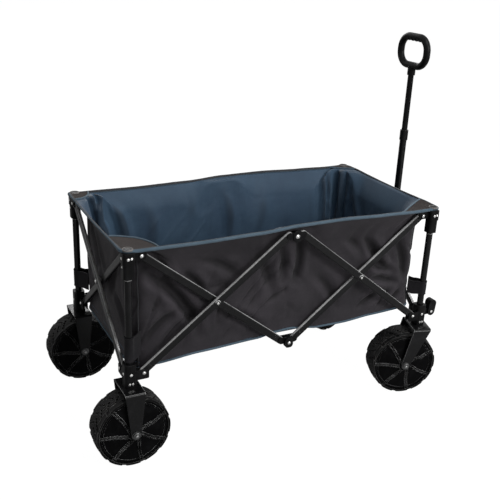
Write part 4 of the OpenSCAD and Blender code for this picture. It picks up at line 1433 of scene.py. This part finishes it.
@dataclass
class Studio:
    """Pale floor, soft lamps and the camera."""

    azimuth: float = math.radians(-28.0)
    elevation: float = math.radians(21.68)
    roll: float = math.radians(2.71)
    distance: float = 2.1907
    focal_px: float = 770.8
    frame_px: float = 500.0
    target: Vector = field(default_factory=lambda: Vector((0.0105, 0.003, 0.422)))
    sky: float = 0.10
    glow: float = 1.15
    glow_share: float = 0.86

    def camera(self) -> None:
        """Sets the camera at the solved place."""
        cos_e = math.cos(self.elevation)
        back = Vector((math.sin(self.azimuth) * cos_e, -math.cos(self.azimuth) * cos_e,
                       math.sin(self.elevation)))
        right = (-back).cross(Vector((0, 0, 1))).normalized()
        up = right.cross(-back)
        cos_r, sin_r = math.cos(self.roll), math.sin(self.roll)
        across = right * cos_r + up * sin_r
        lift = up * cos_r - right * sin_r
        data = bpy.data.cameras.new("studio_camera")
        data.sensor_width = 36.0
        data.lens = self.focal_px / self.frame_px * data.sensor_width
        data.clip_end = 120.0
        camera = place_object("studio_camera", data)
        turn = Matrix((across, lift, back)).transposed().to_4x4()
        camera.matrix_world = Matrix.Translation(self.target + back * self.distance) @ turn
        bpy.context.scene.camera = camera

    def lamp(self, name: str, place: Point, aim: Point, size: tuple[float, float],
             power: float) -> None:
        """Adds one soft rectangular lamp."""
        data = bpy.data.lights.new(name, "AREA")
        data.shape = "RECTANGLE"
        data.size, data.size_y = size
        data.energy = power
        lamp = place_object(name, data)
        way = Vector(aim) - Vector(place)
        lamp.matrix_world = Matrix.Translation(place) @ way.to_track_quat("-Z", "Y").to_matrix().to_4x4()

    def world(self) -> None:
        """Makes a plain world that is white to the camera and in reflections."""
        world = bpy.data.worlds.new("studio_world")
        world.use_nodes = True
        bpy.context.scene.world = world
        tree = world.node_tree
        tree.nodes.clear()
        path = tree.nodes.new("ShaderNodeLightPath")
        mirrored = tree.nodes.new("ShaderNodeMath")
        mirrored.operation = "MAXIMUM"
        tree.links.new(path.outputs["Is Glossy Ray"], mirrored.inputs[0])
        tree.links.new(path.outputs["Is Transmission Ray"], mirrored.inputs[1])
        seen = tree.nodes.new("ShaderNodeMath")
        seen.operation = "MAXIMUM"
        tree.links.new(path.outputs["Is Camera Ray"], seen.inputs[0])
        tree.links.new(mirrored.outputs[0], seen.inputs[1])
        soft, white = (tree.nodes.new("ShaderNodeBackground") for _ in range(2))
        for shade, strength in ((soft, self.sky), (white, 1.0)):
            shade.inputs["Color"].default_value = (1.0, 1.0, 1.0, 1.0)
            shade.inputs["Strength"].default_value = strength
        mix = tree.nodes.new("ShaderNodeMixShader")
        tree.links.new(seen.outputs[0], mix.inputs[0])
        tree.links.new(soft.outputs[0], mix.inputs[1])
        tree.links.new(white.outputs[0], mix.inputs[2])
        out = tree.nodes.new("ShaderNodeOutputWorld")
        tree.links.new(mix.outputs[0], out.inputs["Surface"])

    def floor(self) -> None:
        """Lays the pale floor, white to the camera but for the cart's own shadow."""
        mesh = bmesh.new()
        bmesh.ops.create_circle(mesh, cap_ends=True, segments=96, radius=40.0)
        data = bpy.data.meshes.new("studio_floor")
        mesh.to_mesh(data)
        mesh.free()
        recipe = Recipe("pale_floor")
        recipe.finish(Base_Color=(0.60, 0.60, 0.60, 1.0), Roughness=0.9)
        path = recipe.node("ShaderNodeLightPath")
        glow = recipe.node("ShaderNodeEmission", {}, {"Color": (1, 1, 1, 1), "Strength": self.glow})
        output = next(n for n in recipe.tree.nodes if n.bl_idname == "ShaderNodeOutputMaterial")
        share = recipe.wire(path, "Is Camera Ray") * self.glow_share
        mix = recipe.node("ShaderNodeMixShader", {}, {0: share, 1: recipe.surface.outputs[0],
                                                     2: glow.outputs[0]})
        recipe.feed(output.inputs["Surface"], mix.outputs[0])
        data.materials.append(recipe.material)
        floor = place_object("studio_floor", data)

    def build(self) -> None:
        """Builds the whole studio."""
        bpy.context.scene.view_settings.view_transform = "Standard"
        self.camera()
        self.world()
        self.floor()
        self.lamp("key_lamp", (1.3, -3.1, 1.9), (0.0, 0.0, 0.35), (1.5, 1.3), 78.0)
        self.lamp("strip_lamp", (0.35, -1.1, 2.8), (0.0, 0.0, 0.40), (1.2, 0.7), 30.0)
        self.lamp("side_lamp", (3.0, 0.4, 1.0), (0.2, 0.0, 0.40), (0.5, 1.0), 12.0)
        self.lamp("rim_lamp", (0.9, 2.9, 2.0), (0.0, 0.0, 0.4), (1.6, 0.7), 26.0)


def main() -> None:
    """Builds the cart's pieces in order, then the studio."""
    logging.basicConfig(level=logging.INFO, format="%(message)s")
    for part in (Dress(), Basket(), Fasteners(), Running(), Studio()):
        part.build()
        LOG.info("%s done", type(part).__name__)


if __name__ == "__main__":
    main()
